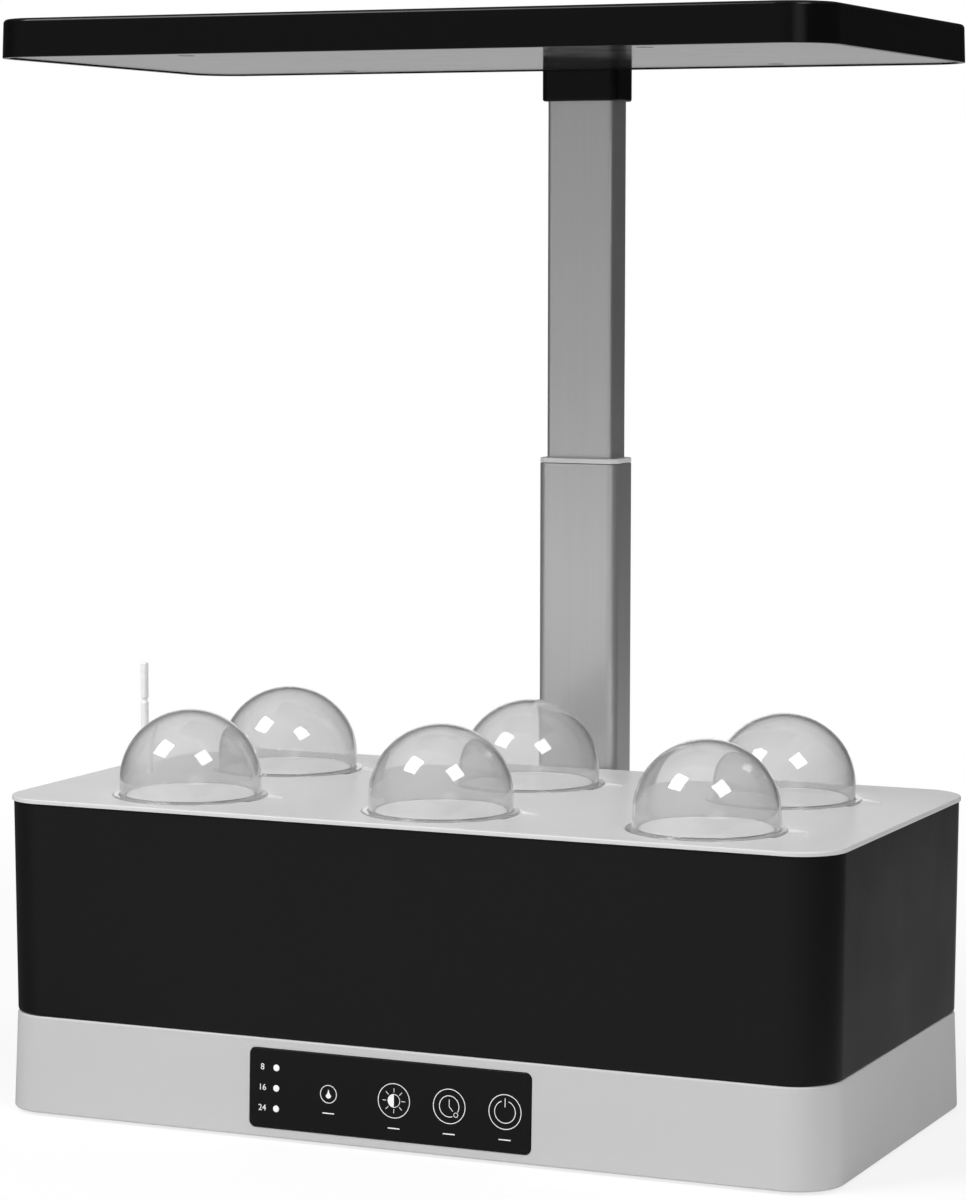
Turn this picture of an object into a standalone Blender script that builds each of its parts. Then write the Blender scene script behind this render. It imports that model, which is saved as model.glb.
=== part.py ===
"""Countertop hydroponic garden: light base with touch keys, black water tank, planting deck with
six pods under clear domes, and a flat grow lamp on a telescoping mast.

Lengths are metres. X runs along the width, -Y is the front with the keys, Z is up from the table.
Places in Y are first given from the deck's front edge, and one empty then centres the whole part.
"""

import bpy
import bmesh
from math import atan2, cos, pi, radians, sin
from mathutils import Matrix, Vector

MM = 0.001

# Clearances that several pieces share
FIT = 0.3 * MM
OVERRUN = 4.0 * MM
MERGE = 0.01 * MM

# Overall plan of the deck and the tank
WIDTH = 350.0 * MM
DEPTH = 175.0 * MM
CORNER = 19.0 * MM
CORNER_STEPS = 4
ROUND_STEPS = 20
MIDDLE_STEPS = 16
SMALL_STEPS = 10

# Base with the keys
BASE_RIM_Z = 1.2 * MM
BASE_TOP_Z = 40.0 * MM
BASE_WALL = 2.5 * MM
BASE_TOP_INSET = 1.2 * MM
BASE_EDGE = 0.8 * MM
BOSS_RADIUS = 4.2 * MM

# Feet and bottom cover
FOOT_RADIUS = 9.0 * MM
FOOT_HEIGHT = 2.4 * MM
FOOT_BEAD = 0.4 * MM
FOOT_INSET_X = 29.0 * MM
FOOT_INSET_Y = 26.0 * MM
FOOT_POCKET = 1.0 * MM
COVER_THICK = 3.0 * MM
COVER_UNDER_Z = FOOT_HEIGHT + FIT - FOOT_POCKET

# Self-tapping screws
SCREW_SHANK = 1.4 * MM
SCREW_HEAD_RADIUS = 2.9 * MM
SCREW_HEAD_HEIGHT = 1.7 * MM
SCREW_CROWN_SHARE = 0.8
SCREW_STEPS = 8
DRIVER_SHARE = 0.4
DRIVER_DEPTH = 0.9 * MM
BASE_SCREW_LENGTH = 11.0 * MM
BASE_SCREW_INSET_X = 55.0 * MM
BASE_SCREW_INSET_Y = 30.0 * MM

# Key fascia, its board and the power inlet
FASCIA_WIDTH = 118.6 * MM
FASCIA_HEIGHT = 30.8 * MM
FASCIA_X = -2.2 * MM
FASCIA_MID_Z = (BASE_RIM_Z + BASE_TOP_Z) / 2
FASCIA_THICK = 1.6 * MM
FASCIA_PROUD = 0.4 * MM
FASCIA_CORNER = 5.0 * MM
FASCIA_EDGE = 0.25 * MM
WINDOW_MARGIN_X = 3.3 * MM
WINDOW_MARGIN_Z = 4.9 * MM
WINDOW_WIDTH = FASCIA_WIDTH - 2 * WINDOW_MARGIN_X
WINDOW_HEIGHT = FASCIA_HEIGHT - 2 * WINDOW_MARGIN_Z
BOARD_THICK = 1.6 * MM
BOARD_MARGIN = 1.0 * MM
KEY_PAD_RADIUS = 6.0 * MM
KEY_PAD_THICK = 0.5 * MM
KEY_PITCH_SHARES = (-0.215, 0.021, 0.216, 0.411)
LIGHT_X_SHARE = -0.403
LIGHT_PITCH = 8.0 * MM
LIGHT_SIZE = 2.6 * MM
INLET_INSET_X = 57.0 * MM
INLET_X = WIDTH / 2 - INLET_INSET_X
INLET_Z = 20.0 * MM
INLET_RADIUS = 5.5 * MM
INLET_LENGTH = 14.0 * MM
INLET_FLANGE_RADIUS = 7.5 * MM
INLET_FLANGE_THICK = 1.2 * MM
INLET_BORE = 3.2 * MM
INLET_BORE_DEPTH = 9.5 * MM
INLET_PIN = 1.0 * MM

# Water tank
TANK_FLOOR_Z = BASE_TOP_Z + FIT
TANK_RIM_Z = 124.9 * MM
TANK_WALL = 2.4 * MM
TANK_RIM_INSET = 0.6 * MM
TANK_FOOT_INSET = 1.3 * MM
TANK_EDGE = 1.0 * MM

# Places of the six pods, as shares of the deck's width and depth, and a small shift to the right
POD_PITCH_SHARE = 0.3143
POD_ROW_SHARES = (0.2257, 0.72)
POD_PITCH_X = POD_PITCH_SHARE * WIDTH
POD_SHIFT_X = 2.0 * MM

# Pump at the tank's back, between two pods
PUMP_WIDTH = 40.0 * MM
PUMP_DEPTH = 34.0 * MM
PUMP_HEIGHT = 27.0 * MM
PUMP_CORNER = 6.0 * MM
PUMP_BACK_GAP = 12.0 * MM
PUMP_X = POD_SHIFT_X + POD_PITCH_X / 2
PUMP_Y = DEPTH - PUMP_BACK_GAP - PUMP_DEPTH / 2
PUMP_EDGE = 1.2 * MM
PUMP_NOZZLE_RADIUS = 5.0 * MM
PUMP_NOZZLE_BORE = 3.4 * MM
PUMP_NOZZLE_RISE = 8.0 * MM
GRILLE_EDGE = 0.4 * MM
GRILLE_THICK = 3.0 * MM
GRILLE_SLOT = 2.0 * MM
GRILLE_SLOTS = 5
GRILLE_MARGIN = 4.0 * MM

# Planting deck
DECK_UNDER_Z = TANK_RIM_Z + FIT
DECK_RIM_THICK = 1.8 * MM
DECK_TOP_Z = DECK_UNDER_Z + DECK_RIM_THICK
DECK_PLUG_DEPTH = 4.0 * MM
DECK_EDGE = 0.5 * MM

# Clear dome
DOME_RADIUS = 28.3 * MM
DOME_WALL = 1.3 * MM
DOME_SKIRT = 6.4 * MM
DOME_BRIM_REACH = 2.5 * MM
DOME_BRIM_RADIUS = DOME_RADIUS + DOME_BRIM_REACH
DOME_BRIM_THICK = 1.0 * MM
DOME_ARC_STEPS = 5
DOME_FILLET = 0.6 * MM
DOME_BRIM_EASE = 0.2 * MM

# Recess in the deck that holds the dome's brim, with a finger notch at its right
RECESS_DEPTH = 1.0 * MM
NOTCH_RADIUS = 11.0 * MM
NOTCH_PAST_BRIM = 9.2 * MM
NOTCH_DEPTH = 0.7 * MM

# Pod basket, its sponge and the disc that covers the hole
BASKET_FLANGE_INSET = 2.0 * MM
BASKET_FLANGE_REACH = 3.7 * MM
BASKET_FLANGE_RADIUS = DOME_RADIUS - BASKET_FLANGE_INSET
BASKET_TOP_RADIUS = BASKET_FLANGE_RADIUS - BASKET_FLANGE_REACH
BASKET_FOOT_RADIUS = 16.5 * MM
BASKET_DEPTH = 47.0 * MM
BASKET_WALL = 1.3 * MM
BASKET_COLUMNS_PER_RIB = 4
BASKET_BAND_SHARES = (0.40, 0.86)
BASKET_FLOOR_SHARE = 0.30
SPONGE_TOP_GAP = 3.0 * MM
SPONGE_HEIGHT = 25.0 * MM
SPONGE_CLEARANCE = 0.35 * MM
SPONGE_EDGE = 1.0 * MM
SPONGE_STEPS = 12
SEED_HOLE_RADIUS = 3.0 * MM
SEED_HOLE_DEPTH = 9.0 * MM
DISC_INSET = 0.7 * MM
DISC_RADIUS = BASKET_FLANGE_RADIUS - DISC_INSET
DISC_THICK = 1.4 * MM
DISC_EDGE = 0.4 * MM

# Water level float with its rod
FLOAT_INSET_X = 19.5 * MM
FLOAT_X = FLOAT_INSET_X - WIDTH / 2
FLOAT_Y = DEPTH / 2
FLOAT_RADIUS = 11.5 * MM
FLOAT_HEIGHT = 14.0 * MM
FLOAT_EDGE = 2.0 * MM
FLOAT_BORE_DEPTH = 10.0 * MM
ROD_RADIUS = 1.6 * MM
ROD_RISE = 46.0 * MM
ROD_TOP_Z = DECK_TOP_Z + ROD_RISE
ROD_TIP = 0.7 * MM
ROD_GROOVE_DROP = 15.8 * MM
ROD_GROOVE_Z = ROD_TOP_Z - ROD_GROOVE_DROP
ROD_GROOVE_WIDTH = 1.9 * MM
ROD_GROOVE_DEPTH = 0.35 * MM
ROD_GUIDE_CLEARANCE = 0.6 * MM
ROD_GUIDE_WALL = 1.8 * MM
ROD_GUIDE_DROP = 9.0 * MM

# Mast behind the tank
MAST_WIDTH = 35.4 * MM
MAST_DEPTH = 21.6 * MM
MAST_CORNER = 4.5 * MM
MAST_WALL = 1.5 * MM
SOCKET_WALL = 2.5 * MM
SOCKET_RISE = 32.0 * MM
SOCKET_TOP_Z = BASE_TOP_Z + SOCKET_RISE
SOCKET_FLOOR_Z = 6.0 * MM
SOCKET_EDGE = 1.0 * MM
SOCKET_ROOT = 9.0 * MM
MAST_GAP = FIT + SOCKET_WALL + FIT
MAST_MID_Y = DEPTH + MAST_GAP + MAST_DEPTH / 2
COLLAR_TOP_Z = 256.6 * MM
COLLAR_THICK = 2.0 * MM
COLLAR_EDGE = 0.4 * MM
MAST_TOP_Z = COLLAR_TOP_Z - COLLAR_THICK - FIT
TUBE_GAP = 1.25 * MM
TUBE_WIDTH = MAST_WIDTH - 2 * (MAST_WALL + TUBE_GAP)
TUBE_DEPTH = MAST_DEPTH - 2 * (MAST_WALL + TUBE_GAP)
TUBE_CORNER = 2.4 * MM
TUBE_WALL = 1.3 * MM
TUBE_OVERLAP = 100.6 * MM
TUBE_FOOT_Z = COLLAR_TOP_Z - TUBE_OVERLAP
GLIDE_FLANGE = 3.0 * MM
GLIDE_PLUG = 12.0 * MM
GLIDE_CLEARANCE = 0.25 * MM
PLUG_WALL = 2.0 * MM

# Lamp head: it hangs over the whole deck and meets the bracket's front
LAMP_UNDER_Z = 417.2 * MM
LAMP_THICK = 15.0 * MM
LAMP_SIDE_INSET = 3.3 * MM
LAMP_WIDTH = WIDTH - 2 * LAMP_SIDE_INSET
LAMP_OVERHANG = 7.0 * MM
BRACKET_WALL = 1.85 * MM
BRACKET_DEPTH = TUBE_DEPTH + 2 * (FIT + BRACKET_WALL)
LAMP_BACK_Y = MAST_MID_Y - BRACKET_DEPTH / 2 - FIT
LAMP_DEPTH = LAMP_BACK_Y + LAMP_OVERHANG
LAMP_MID_Y = LAMP_BACK_Y - LAMP_DEPTH / 2
LAMP_CORNER = 19.0 * MM
LAMP_TOP_INSET = 0.4 * MM
LAMP_EDGE = 1.0 * MM
LAMP_WALL = 2.4 * MM
LAMP_ROOF = 2.4 * MM
PANEL_THICK = 3.0 * MM
PANEL_RECESS = 0.4 * MM
PANEL_GAP = 0.3 * MM
LED_BOARD_MARGIN_X = 20.5 * MM
LED_BOARD_MARGIN_Y = 32.0 * MM
LED_BOARD_WIDTH = LAMP_WIDTH - 2 * LED_BOARD_MARGIN_X
LED_BOARD_DEPTH = LAMP_DEPTH - 2 * LED_BOARD_MARGIN_Y
LAMP_SCREW_SHARE = 0.2766
LAMP_SCREW_GAP = 10.0 * MM
LAMP_SCREW_X = LAMP_SCREW_SHARE * LAMP_WIDTH
LAMP_SCREW_Y = LED_BOARD_DEPTH / 2 + LAMP_SCREW_GAP
LAMP_SCREW_HOLE = 3.4 * MM
LAMP_SCREW_SINK = 0.8 * MM
LAMP_SCREW_LENGTH = 9.0 * MM
LAMP_BOSS_RADIUS = 4.5 * MM
LED_BOARD_THICK = 1.6 * MM
LED_COLUMNS = 6
LED_ROWS = 3
LED_SIZE_SHARE = 0.12
LED_HEIGHT = 0.9 * MM
BRACKET_HANG = 12.3 * MM
BRACKET_UNDER_Z = LAMP_UNDER_Z - BRACKET_HANG
BRACKET_ROOF = 2.5 * MM
BRACKET_DROP_FROM_TOP = 2.0 * MM
BRACKET_CORNER = 3.8 * MM
BRACKET_EDGE = 0.8 * MM
EAR_REACH = 21.3 * MM
EAR_WIDTH = MAST_WIDTH + 2 * EAR_REACH
EAR_THICK = 3.0 * MM
EAR_MARGIN_Z = 1.6 * MM
EAR_SCREW_INSET = 9.0 * MM
EAR_SCREW_X = EAR_WIDTH / 2 - EAR_SCREW_INSET
EAR_SCREW_LENGTH = 10.0 * MM
EAR_SCREW_HEAD_RADIUS = 2.6 * MM
EAR_BOSS_WIDTH = 14.0 * MM
EAR_BOSS_DEPTH = 12.0 * MM

# The whole part is centred on the table between its front-most and back-most faces
SOCKET_BACK_Y = MAST_MID_Y + MAST_DEPTH / 2 + FIT + SOCKET_WALL
FRONT_EDGE_Y = (LAMP_OVERHANG - SOCKET_BACK_Y) / 2

COLLECTION_NAME = "countertop_hydroponic_garden"

# Colours as red, green, blue, then roughness, metallic and transmission
FINISHES = {
    "light_plastic": ((0.60, 0.60, 0.60), 0.42, 0.0, 0.0),
    "black_plastic": ((0.012, 0.012, 0.012), 0.30, 0.0, 0.0),
    "gloss_black": ((0.008, 0.008, 0.008), 0.10, 0.0, 0.0),
    "white_plastic": ((0.80, 0.80, 0.80), 0.35, 0.0, 0.0),
    "clear_plastic": ((0.92, 0.93, 0.93), 0.04, 0.0, 1.0),
    "rubber": ((0.03, 0.03, 0.03), 0.80, 0.0, 0.0),
    "steel": ((0.55, 0.55, 0.56), 0.30, 1.0, 0.0),
    "painted_tube": ((0.42, 0.42, 0.43), 0.33, 0.7, 0.0),
    "mirror_panel": ((0.33, 0.33, 0.34), 0.12, 0.3, 0.0),
    "board": ((0.02, 0.12, 0.05), 0.50, 0.0, 0.0),
    "sponge": ((0.30, 0.20, 0.11), 0.95, 0.0, 0.0),
}


def clear_scene():
    for old in list(bpy.data.objects):
        bpy.data.objects.remove(old, do_unlink=True)


def new_collection(name):
    made = bpy.data.collections.new(name)
    bpy.context.scene.collection.children.link(made)
    return made


clear_scene()
PARTS = new_collection(COLLECTION_NAME)
CUTTERS = new_collection("cutters")


def material(name, slot):
    colour, roughness, metallic, clear = FINISHES[slot]
    made = bpy.data.materials.new(name)
    made.use_nodes = True
    shader = made.node_tree.nodes["Principled BSDF"]
    shader.inputs["Base Color"].default_value = (*colour, 1)
    shader.inputs["Roughness"].default_value = roughness
    shader.inputs["Metallic"].default_value = metallic
    shader.inputs["Transmission Weight"].default_value = clear
    return made


def group_empty(name, place, parent=None):
    """An empty that stands for a group of pieces that move together."""
    made = bpy.data.objects.new(name, None)
    PARTS.objects.link(made)
    made.parent = parent
    made.location = place
    return made


def add_object(name, mesh_source, collection=PARTS):
    mesh = bpy.data.meshes.new(name)
    mesh_source.to_mesh(mesh)
    mesh_source.free()
    made = bpy.data.objects.new(name, mesh)
    collection.objects.link(made)
    return made


def as_tool(name, mesh_source, place=(0, 0, 0)):
    """A shape that only cuts or joins: it stays out of the part itself."""
    made = add_object(name, mesh_source, CUTTERS)
    made.location = place
    made.hide_render = True
    made.display_type = "WIRE"
    return made


def combine(obj, tool, operation="DIFFERENCE"):
    """Cut or join with a tool that is placed in the piece's own space."""
    tool.parent = obj
    boolean = obj.modifiers.new(operation.lower() + "_" + tool.name, "BOOLEAN")
    boolean.operation = operation
    boolean.object = tool
    boolean.solver = "EXACT"


def finish(obj, slot, place, group, sharp=radians(35)):
    """Give a piece its finish, its place in its group, and smooth shading on round faces."""
    obj.data.materials.append(material(obj.name, slot))
    obj.data.shade_smooth()
    obj.data.set_sharp_from_angle(angle=sharp)
    obj.parent = group
    obj.location = place
    return obj


def perimeter(bm, z):
    """The edges that lie on the level z and bound its flat face."""
    return [e for e in bm.edges
            if all(abs(v.co.z - z) < MERGE for v in e.verts)
            and any(abs(f.normal.z) < 0.5 for f in e.link_faces)]


def rounded_block(width, depth, height, corner=0, low_grow=0, top_grow=0, low_edge=0, top_edge=0,
                  steps=CORNER_STEPS, edge_steps=2, base=0):
    """A block standing on its own origin: upright edges rounded, sides drawn in or out by the
    grow values, and its lower and upper rims eased."""
    bm = bmesh.new()
    shape = Matrix.Translation((0, 0, base + height / 2)) @ Matrix.Diagonal((width, depth, height, 1))
    bmesh.ops.create_cube(bm, size=1, matrix=shape)
    if corner:
        upright = [e for e in bm.edges if abs(e.verts[0].co.z - e.verts[1].co.z) > MERGE]
        bmesh.ops.bevel(bm, geom=upright, offset=corner, segments=steps, profile=0.5,
                        affect="EDGES", offset_type="OFFSET")
    middle = base + height / 2
    for v in bm.verts:
        grow = top_grow if v.co.z > middle else low_grow
        v.co.x += grow if v.co.x > 0 else -grow
        v.co.y += grow if v.co.y > 0 else -grow
    bm.normal_update()
    for z, edge in ((base, low_edge), (base + height, top_edge)):
        if edge:
            bmesh.ops.bevel(bm, geom=perimeter(bm, z), offset=edge, segments=edge_steps, profile=0.5,
                            affect="EDGES", offset_type="OFFSET")
            bm.normal_update()
    bmesh.ops.recalc_face_normals(bm, faces=bm.faces)
    return bm


def cylinder(radius, height, steps=ROUND_STEPS, base=0, top_radius=None, axis="Z"):
    """A cylinder or cone from base upwards along its axis."""
    bm = bmesh.new()
    turn = {"Z": Matrix.Identity(4), "Y": Matrix.Rotation(-pi / 2, 4, "X")}[axis]
    bmesh.ops.create_cone(bm, cap_ends=True, segments=steps, radius1=radius,
                          radius2=radius if top_radius is None else top_radius, depth=height,
                          matrix=turn @ Matrix.Translation((0, 0, base + height / 2)))
    return bm


def turned(profile, steps=ROUND_STEPS):
    """Turn an outline of (radius, height) points about Z. It runs down the outer side."""
    bm = bmesh.new()
    points = [bm.verts.new((r, 0, z)) for r, z in profile]
    for first, second in zip(points, points[1:]):
        bm.edges.new((first, second))
    bmesh.ops.spin(bm, geom=bm.verts[:] + bm.edges[:], cent=(0, 0, 0), axis=(0, 0, 1), angle=2 * pi,
                   steps=steps, use_merge=True, use_duplicate=False)
    bmesh.ops.remove_doubles(bm, verts=bm.verts, dist=MERGE)
    bmesh.ops.recalc_face_normals(bm, faces=bm.faces)
    return bm


def merged(*sources):
    """Several apart shapes in one mesh, for a tool that works in many places at once."""
    whole = bmesh.new()
    for bm in sources:
        copy = bpy.data.meshes.new("copy")
        bm.to_mesh(copy)
        bm.free()
        whole.from_mesh(copy)
        bpy.data.meshes.remove(copy)
    return whole


def moved(bm, place, turn=Matrix.Identity(4)):
    bmesh.ops.transform(bm, matrix=Matrix.Translation(place) @ turn, verts=bm.verts)
    return bm


def tube_skin(width, depth, corner, low, high):
    """The open outer skin of a rounded rectangular tube."""
    bm = rounded_block(width, depth, high - low, corner, base=low)
    caps = [f for f in bm.faces if abs(f.normal.z) > 0.5]
    bmesh.ops.delete(bm, geom=caps, context="FACES_ONLY")
    return bm


def thicken(obj, wall):
    """Give an open skin its wall, inwards."""
    skin = obj.modifiers.new("wall", "SOLIDIFY")
    skin.thickness = wall
    skin.offset = -1
    skin.use_even_offset = True


def pod_places():
    """Pod number and centre, front row first, from left to right."""
    number = 0
    for share in POD_ROW_SHARES:
        for column in (-1, 0, 1):
            number += 1
            yield number, POD_SHIFT_X + column * POD_PITCH_X, share * DEPTH


def four_places(inset_x, inset_y):
    """Four places mirrored about the middle of the base, each drawn in from its sides."""
    names = ("front_left", "front_right", "back_left", "back_right")
    signs = ((-1, -1), (1, -1), (-1, 1), (1, 1))
    for name, (sx, sy) in zip(names, signs):
        yield name, sx * (WIDTH / 2 - inset_x), DEPTH / 2 + sy * (DEPTH / 2 - inset_y)


def screw_shape(length, head_radius):
    """A pan-head screw with a driver recess: head down at height zero, shank upwards."""
    recess = head_radius * DRIVER_SHARE
    return turned([(0, length), (SCREW_SHANK, length - SCREW_SHANK), (SCREW_SHANK, SCREW_HEAD_HEIGHT),
                   (head_radius, SCREW_HEAD_HEIGHT), (head_radius * SCREW_CROWN_SHARE, 0), (recess, 0),
                   (recess, DRIVER_DEPTH), (0, DRIVER_DEPTH)], SCREW_STEPS)


def add_screw(name, length, place, group, turn=(0, 0, 0), head_radius=SCREW_HEAD_RADIUS):
    obj = finish(add_object(name, screw_shape(length, head_radius)), "steel", place, group)
    obj.rotation_euler = turn


# Base


def base_lean():
    """The front wall leans back by the base's draft."""
    return atan2(BASE_TOP_INSET, BASE_TOP_Z - BASE_RIM_Z)


def base_inset_at(z):
    """How far the base's walls are drawn in at height z."""
    return BASE_TOP_INSET * (z - BASE_RIM_Z) / (BASE_TOP_Z - BASE_RIM_Z)


def fascia_turn():
    return Matrix.Rotation(-base_lean(), 4, "X")


def fascia_place():
    return (FASCIA_X, base_inset_at(FASCIA_MID_Z), FASCIA_MID_Z)


def upright_plate(width, height, thick, corner, edge=0):
    """A plate that faces the front: its front face passes through its origin, its back is at +Y."""
    bm = rounded_block(width, height, thick, corner, low_edge=edge)
    bmesh.ops.rotate(bm, verts=bm.verts, matrix=Matrix.Rotation(-pi / 2, 3, "X"))
    return bm


def base_housing(group):
    height = BASE_TOP_Z - BASE_RIM_Z
    body = rounded_block(WIDTH, DEPTH, height, CORNER, top_grow=-BASE_TOP_INSET, low_edge=BASE_EDGE,
                         top_edge=BASE_EDGE, base=BASE_RIM_Z)
    obj = add_object("base_housing", body)
    centre_y = DEPTH / 2

    inner = rounded_block(WIDTH - 2 * BASE_WALL, DEPTH - 2 * BASE_WALL,
                          height - BASE_WALL + OVERRUN, CORNER - BASE_WALL,
                          low_grow=-base_inset_at(BASE_RIM_Z - OVERRUN),
                          top_grow=-base_inset_at(BASE_TOP_Z - BASE_WALL), base=BASE_RIM_Z - OVERRUN)
    combine(obj, as_tool("base_hollow", inner))

    tower_width = MAST_WIDTH + 2 * (FIT + SOCKET_WALL)
    tower_depth = MAST_DEPTH + 2 * (FIT + SOCKET_WALL)
    root = rounded_block(tower_width - 2 * SOCKET_WALL, SOCKET_ROOT,
                         BASE_TOP_Z - BASE_WALL / 2 - boss_foot_z(), base=boss_foot_z())
    root_y = DEPTH + SOCKET_WALL - SOCKET_ROOT / 2
    combine(obj, as_tool("socket_root", root, (0, root_y - centre_y, 0)), "UNION")
    tower = rounded_block(tower_width, tower_depth, SOCKET_TOP_Z - BASE_RIM_Z,
                          MAST_CORNER + SOCKET_WALL, top_edge=SOCKET_EDGE, base=BASE_RIM_Z)
    combine(obj, as_tool("socket_tower", tower, (0, MAST_MID_Y - centre_y, 0)), "UNION")

    bosses = [moved(cylinder(BOSS_RADIUS, BASE_TOP_Z - BASE_WALL / 2 - boss_foot_z(), SMALL_STEPS,
                             base=boss_foot_z()), (x, y - centre_y, 0))
              for _, x, y in four_places(BASE_SCREW_INSET_X, BASE_SCREW_INSET_Y)]
    combine(obj, as_tool("screw_bosses", merged(*bosses)), "UNION")

    holes = [moved(cylinder(SCREW_SHANK + FIT, BASE_SCREW_LENGTH + OVERRUN, SCREW_STEPS,
                            base=boss_foot_z() - OVERRUN), (x, y - centre_y, 0))
             for _, x, y in four_places(BASE_SCREW_INSET_X, BASE_SCREW_INSET_Y)]
    combine(obj, as_tool("boss_holes", merged(*holes)))

    socket = rounded_block(MAST_WIDTH + 2 * FIT, MAST_DEPTH + 2 * FIT,
                           SOCKET_TOP_Z - SOCKET_FLOOR_Z + OVERRUN, MAST_CORNER + FIT,
                           base=SOCKET_FLOOR_Z)
    combine(obj, as_tool("mast_socket", socket, (0, MAST_MID_Y - centre_y, 0)))

    x, y, z = fascia_place()
    pocket = moved(upright_plate(FASCIA_WIDTH + 2 * FIT, FASCIA_HEIGHT + 2 * FIT,
                                 FASCIA_THICK - FASCIA_PROUD + FIT + OVERRUN, FASCIA_CORNER + FIT),
                   (0, -OVERRUN, 0))
    combine(obj, as_tool("fascia_pocket", moved(pocket, (x, y - centre_y, z), fascia_turn())))
    window = moved(upright_plate(WINDOW_WIDTH, WINDOW_HEIGHT, BASE_WALL + 2 * OVERRUN, FASCIA_CORNER),
                   (x, y - centre_y - OVERRUN, z))
    combine(obj, as_tool("key_window", window))

    inlet = moved(cylinder(INLET_RADIUS + FIT, BASE_WALL + 2 * OVERRUN, MIDDLE_STEPS, axis="Y"),
                  (INLET_X, centre_y - BASE_WALL - OVERRUN, INLET_Z))
    combine(obj, as_tool("inlet_hole", inlet))
    return finish(obj, "light_plastic", (0, centre_y, 0), group)


def boss_foot_z():
    return COVER_UNDER_Z + COVER_THICK + FIT


def bottom_cover(group):
    grow = 2 * (BASE_WALL + FIT)
    plate = rounded_block(WIDTH - grow, DEPTH - grow, COVER_THICK, CORNER - BASE_WALL - FIT,
                          low_grow=-base_inset_at(COVER_UNDER_Z),
                          top_grow=-base_inset_at(COVER_UNDER_Z + COVER_THICK), base=COVER_UNDER_Z)
    obj = add_object("bottom_cover", plate)
    pockets = [moved(cylinder(FOOT_RADIUS + FIT, FOOT_POCKET + OVERRUN, MIDDLE_STEPS,
                              base=COVER_UNDER_Z - OVERRUN), (x, y - DEPTH / 2, 0))
               for _, x, y in four_places(FOOT_INSET_X, FOOT_INSET_Y)]
    combine(obj, as_tool("foot_pockets", merged(*pockets)))
    holes = []
    for _, x, y in four_places(BASE_SCREW_INSET_X, BASE_SCREW_INSET_Y):
        holes.append(moved(cylinder(SCREW_SHANK + FIT, COVER_THICK + 2 * OVERRUN, SCREW_STEPS,
                                    base=COVER_UNDER_Z - OVERRUN), (x, y - DEPTH / 2, 0)))
    combine(obj, as_tool("cover_screw_holes", merged(*holes)))
    sinks = []
    for _, x, y in four_places(BASE_SCREW_INSET_X, BASE_SCREW_INSET_Y):
        sinks.append(moved(cylinder(SCREW_HEAD_RADIUS + FIT, SCREW_HEAD_HEIGHT + FIT + OVERRUN, SMALL_STEPS,
                                    base=COVER_UNDER_Z - OVERRUN), (x, y - DEPTH / 2, 0)))
    combine(obj, as_tool("cover_screw_sinks", merged(*sinks)))
    return finish(obj, "black_plastic", (0, DEPTH / 2, 0), group)


def feet(group):
    for name, x, y in four_places(FOOT_INSET_X, FOOT_INSET_Y):
        profile = [(0, FOOT_HEIGHT), (FOOT_RADIUS, FOOT_HEIGHT), (FOOT_RADIUS, FOOT_BEAD),
                   (FOOT_RADIUS - FOOT_BEAD, 0), (0, 0)]
        finish(add_object("foot_" + name, turned(profile, MIDDLE_STEPS)), "rubber", (x, y, 0), group)


def base_screws(group):
    for name, x, y in four_places(BASE_SCREW_INSET_X, BASE_SCREW_INSET_Y):
        add_screw("base_screw_" + name, BASE_SCREW_LENGTH, (x, y, COVER_UNDER_Z), group)


def control_fascia(group):
    obj = add_object("control_fascia", upright_plate(FASCIA_WIDTH, FASCIA_HEIGHT, FASCIA_THICK,
                                                     FASCIA_CORNER, FASCIA_EDGE))
    x, y, z = fascia_place()
    out = fascia_turn() @ Vector((0, -FASCIA_PROUD, 0))
    finish(obj, "gloss_black", (x, y + out.y, z + out.z), group)
    obj.rotation_euler = (-base_lean(), 0, 0)


def control_board(group):
    """The touch board sits in the window behind the fascia, with one pad a key and three lights."""
    width = WINDOW_WIDTH - 2 * BOARD_MARGIN
    obj = add_object("control_board", upright_plate(width, WINDOW_HEIGHT - 2 * BOARD_MARGIN,
                                                    BOARD_THICK, FASCIA_CORNER - BOARD_MARGIN))
    pads = [moved(cylinder(KEY_PAD_RADIUS, 2 * KEY_PAD_THICK, SMALL_STEPS, base=-KEY_PAD_THICK, axis="Y"),
                  (share * FASCIA_WIDTH, 0, 0)) for share in KEY_PITCH_SHARES]
    lights = [moved(rounded_block(LIGHT_SIZE, 2 * KEY_PAD_THICK, LIGHT_SIZE, base=-LIGHT_SIZE / 2),
                    (LIGHT_X_SHARE * FASCIA_WIDTH, 0, row * LIGHT_PITCH)) for row in (-1, 0, 1)]
    combine(obj, as_tool("board_pads", merged(*pads, *lights)), "UNION")
    x, y, z = fascia_place()
    behind = FASCIA_THICK - FASCIA_PROUD + FIT + KEY_PAD_THICK
    back = fascia_turn() @ Vector((0, behind, 0))
    finish(obj, "board", (x, y + back.y, z + back.z), group)
    obj.rotation_euler = (-base_lean(), 0, 0)


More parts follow.
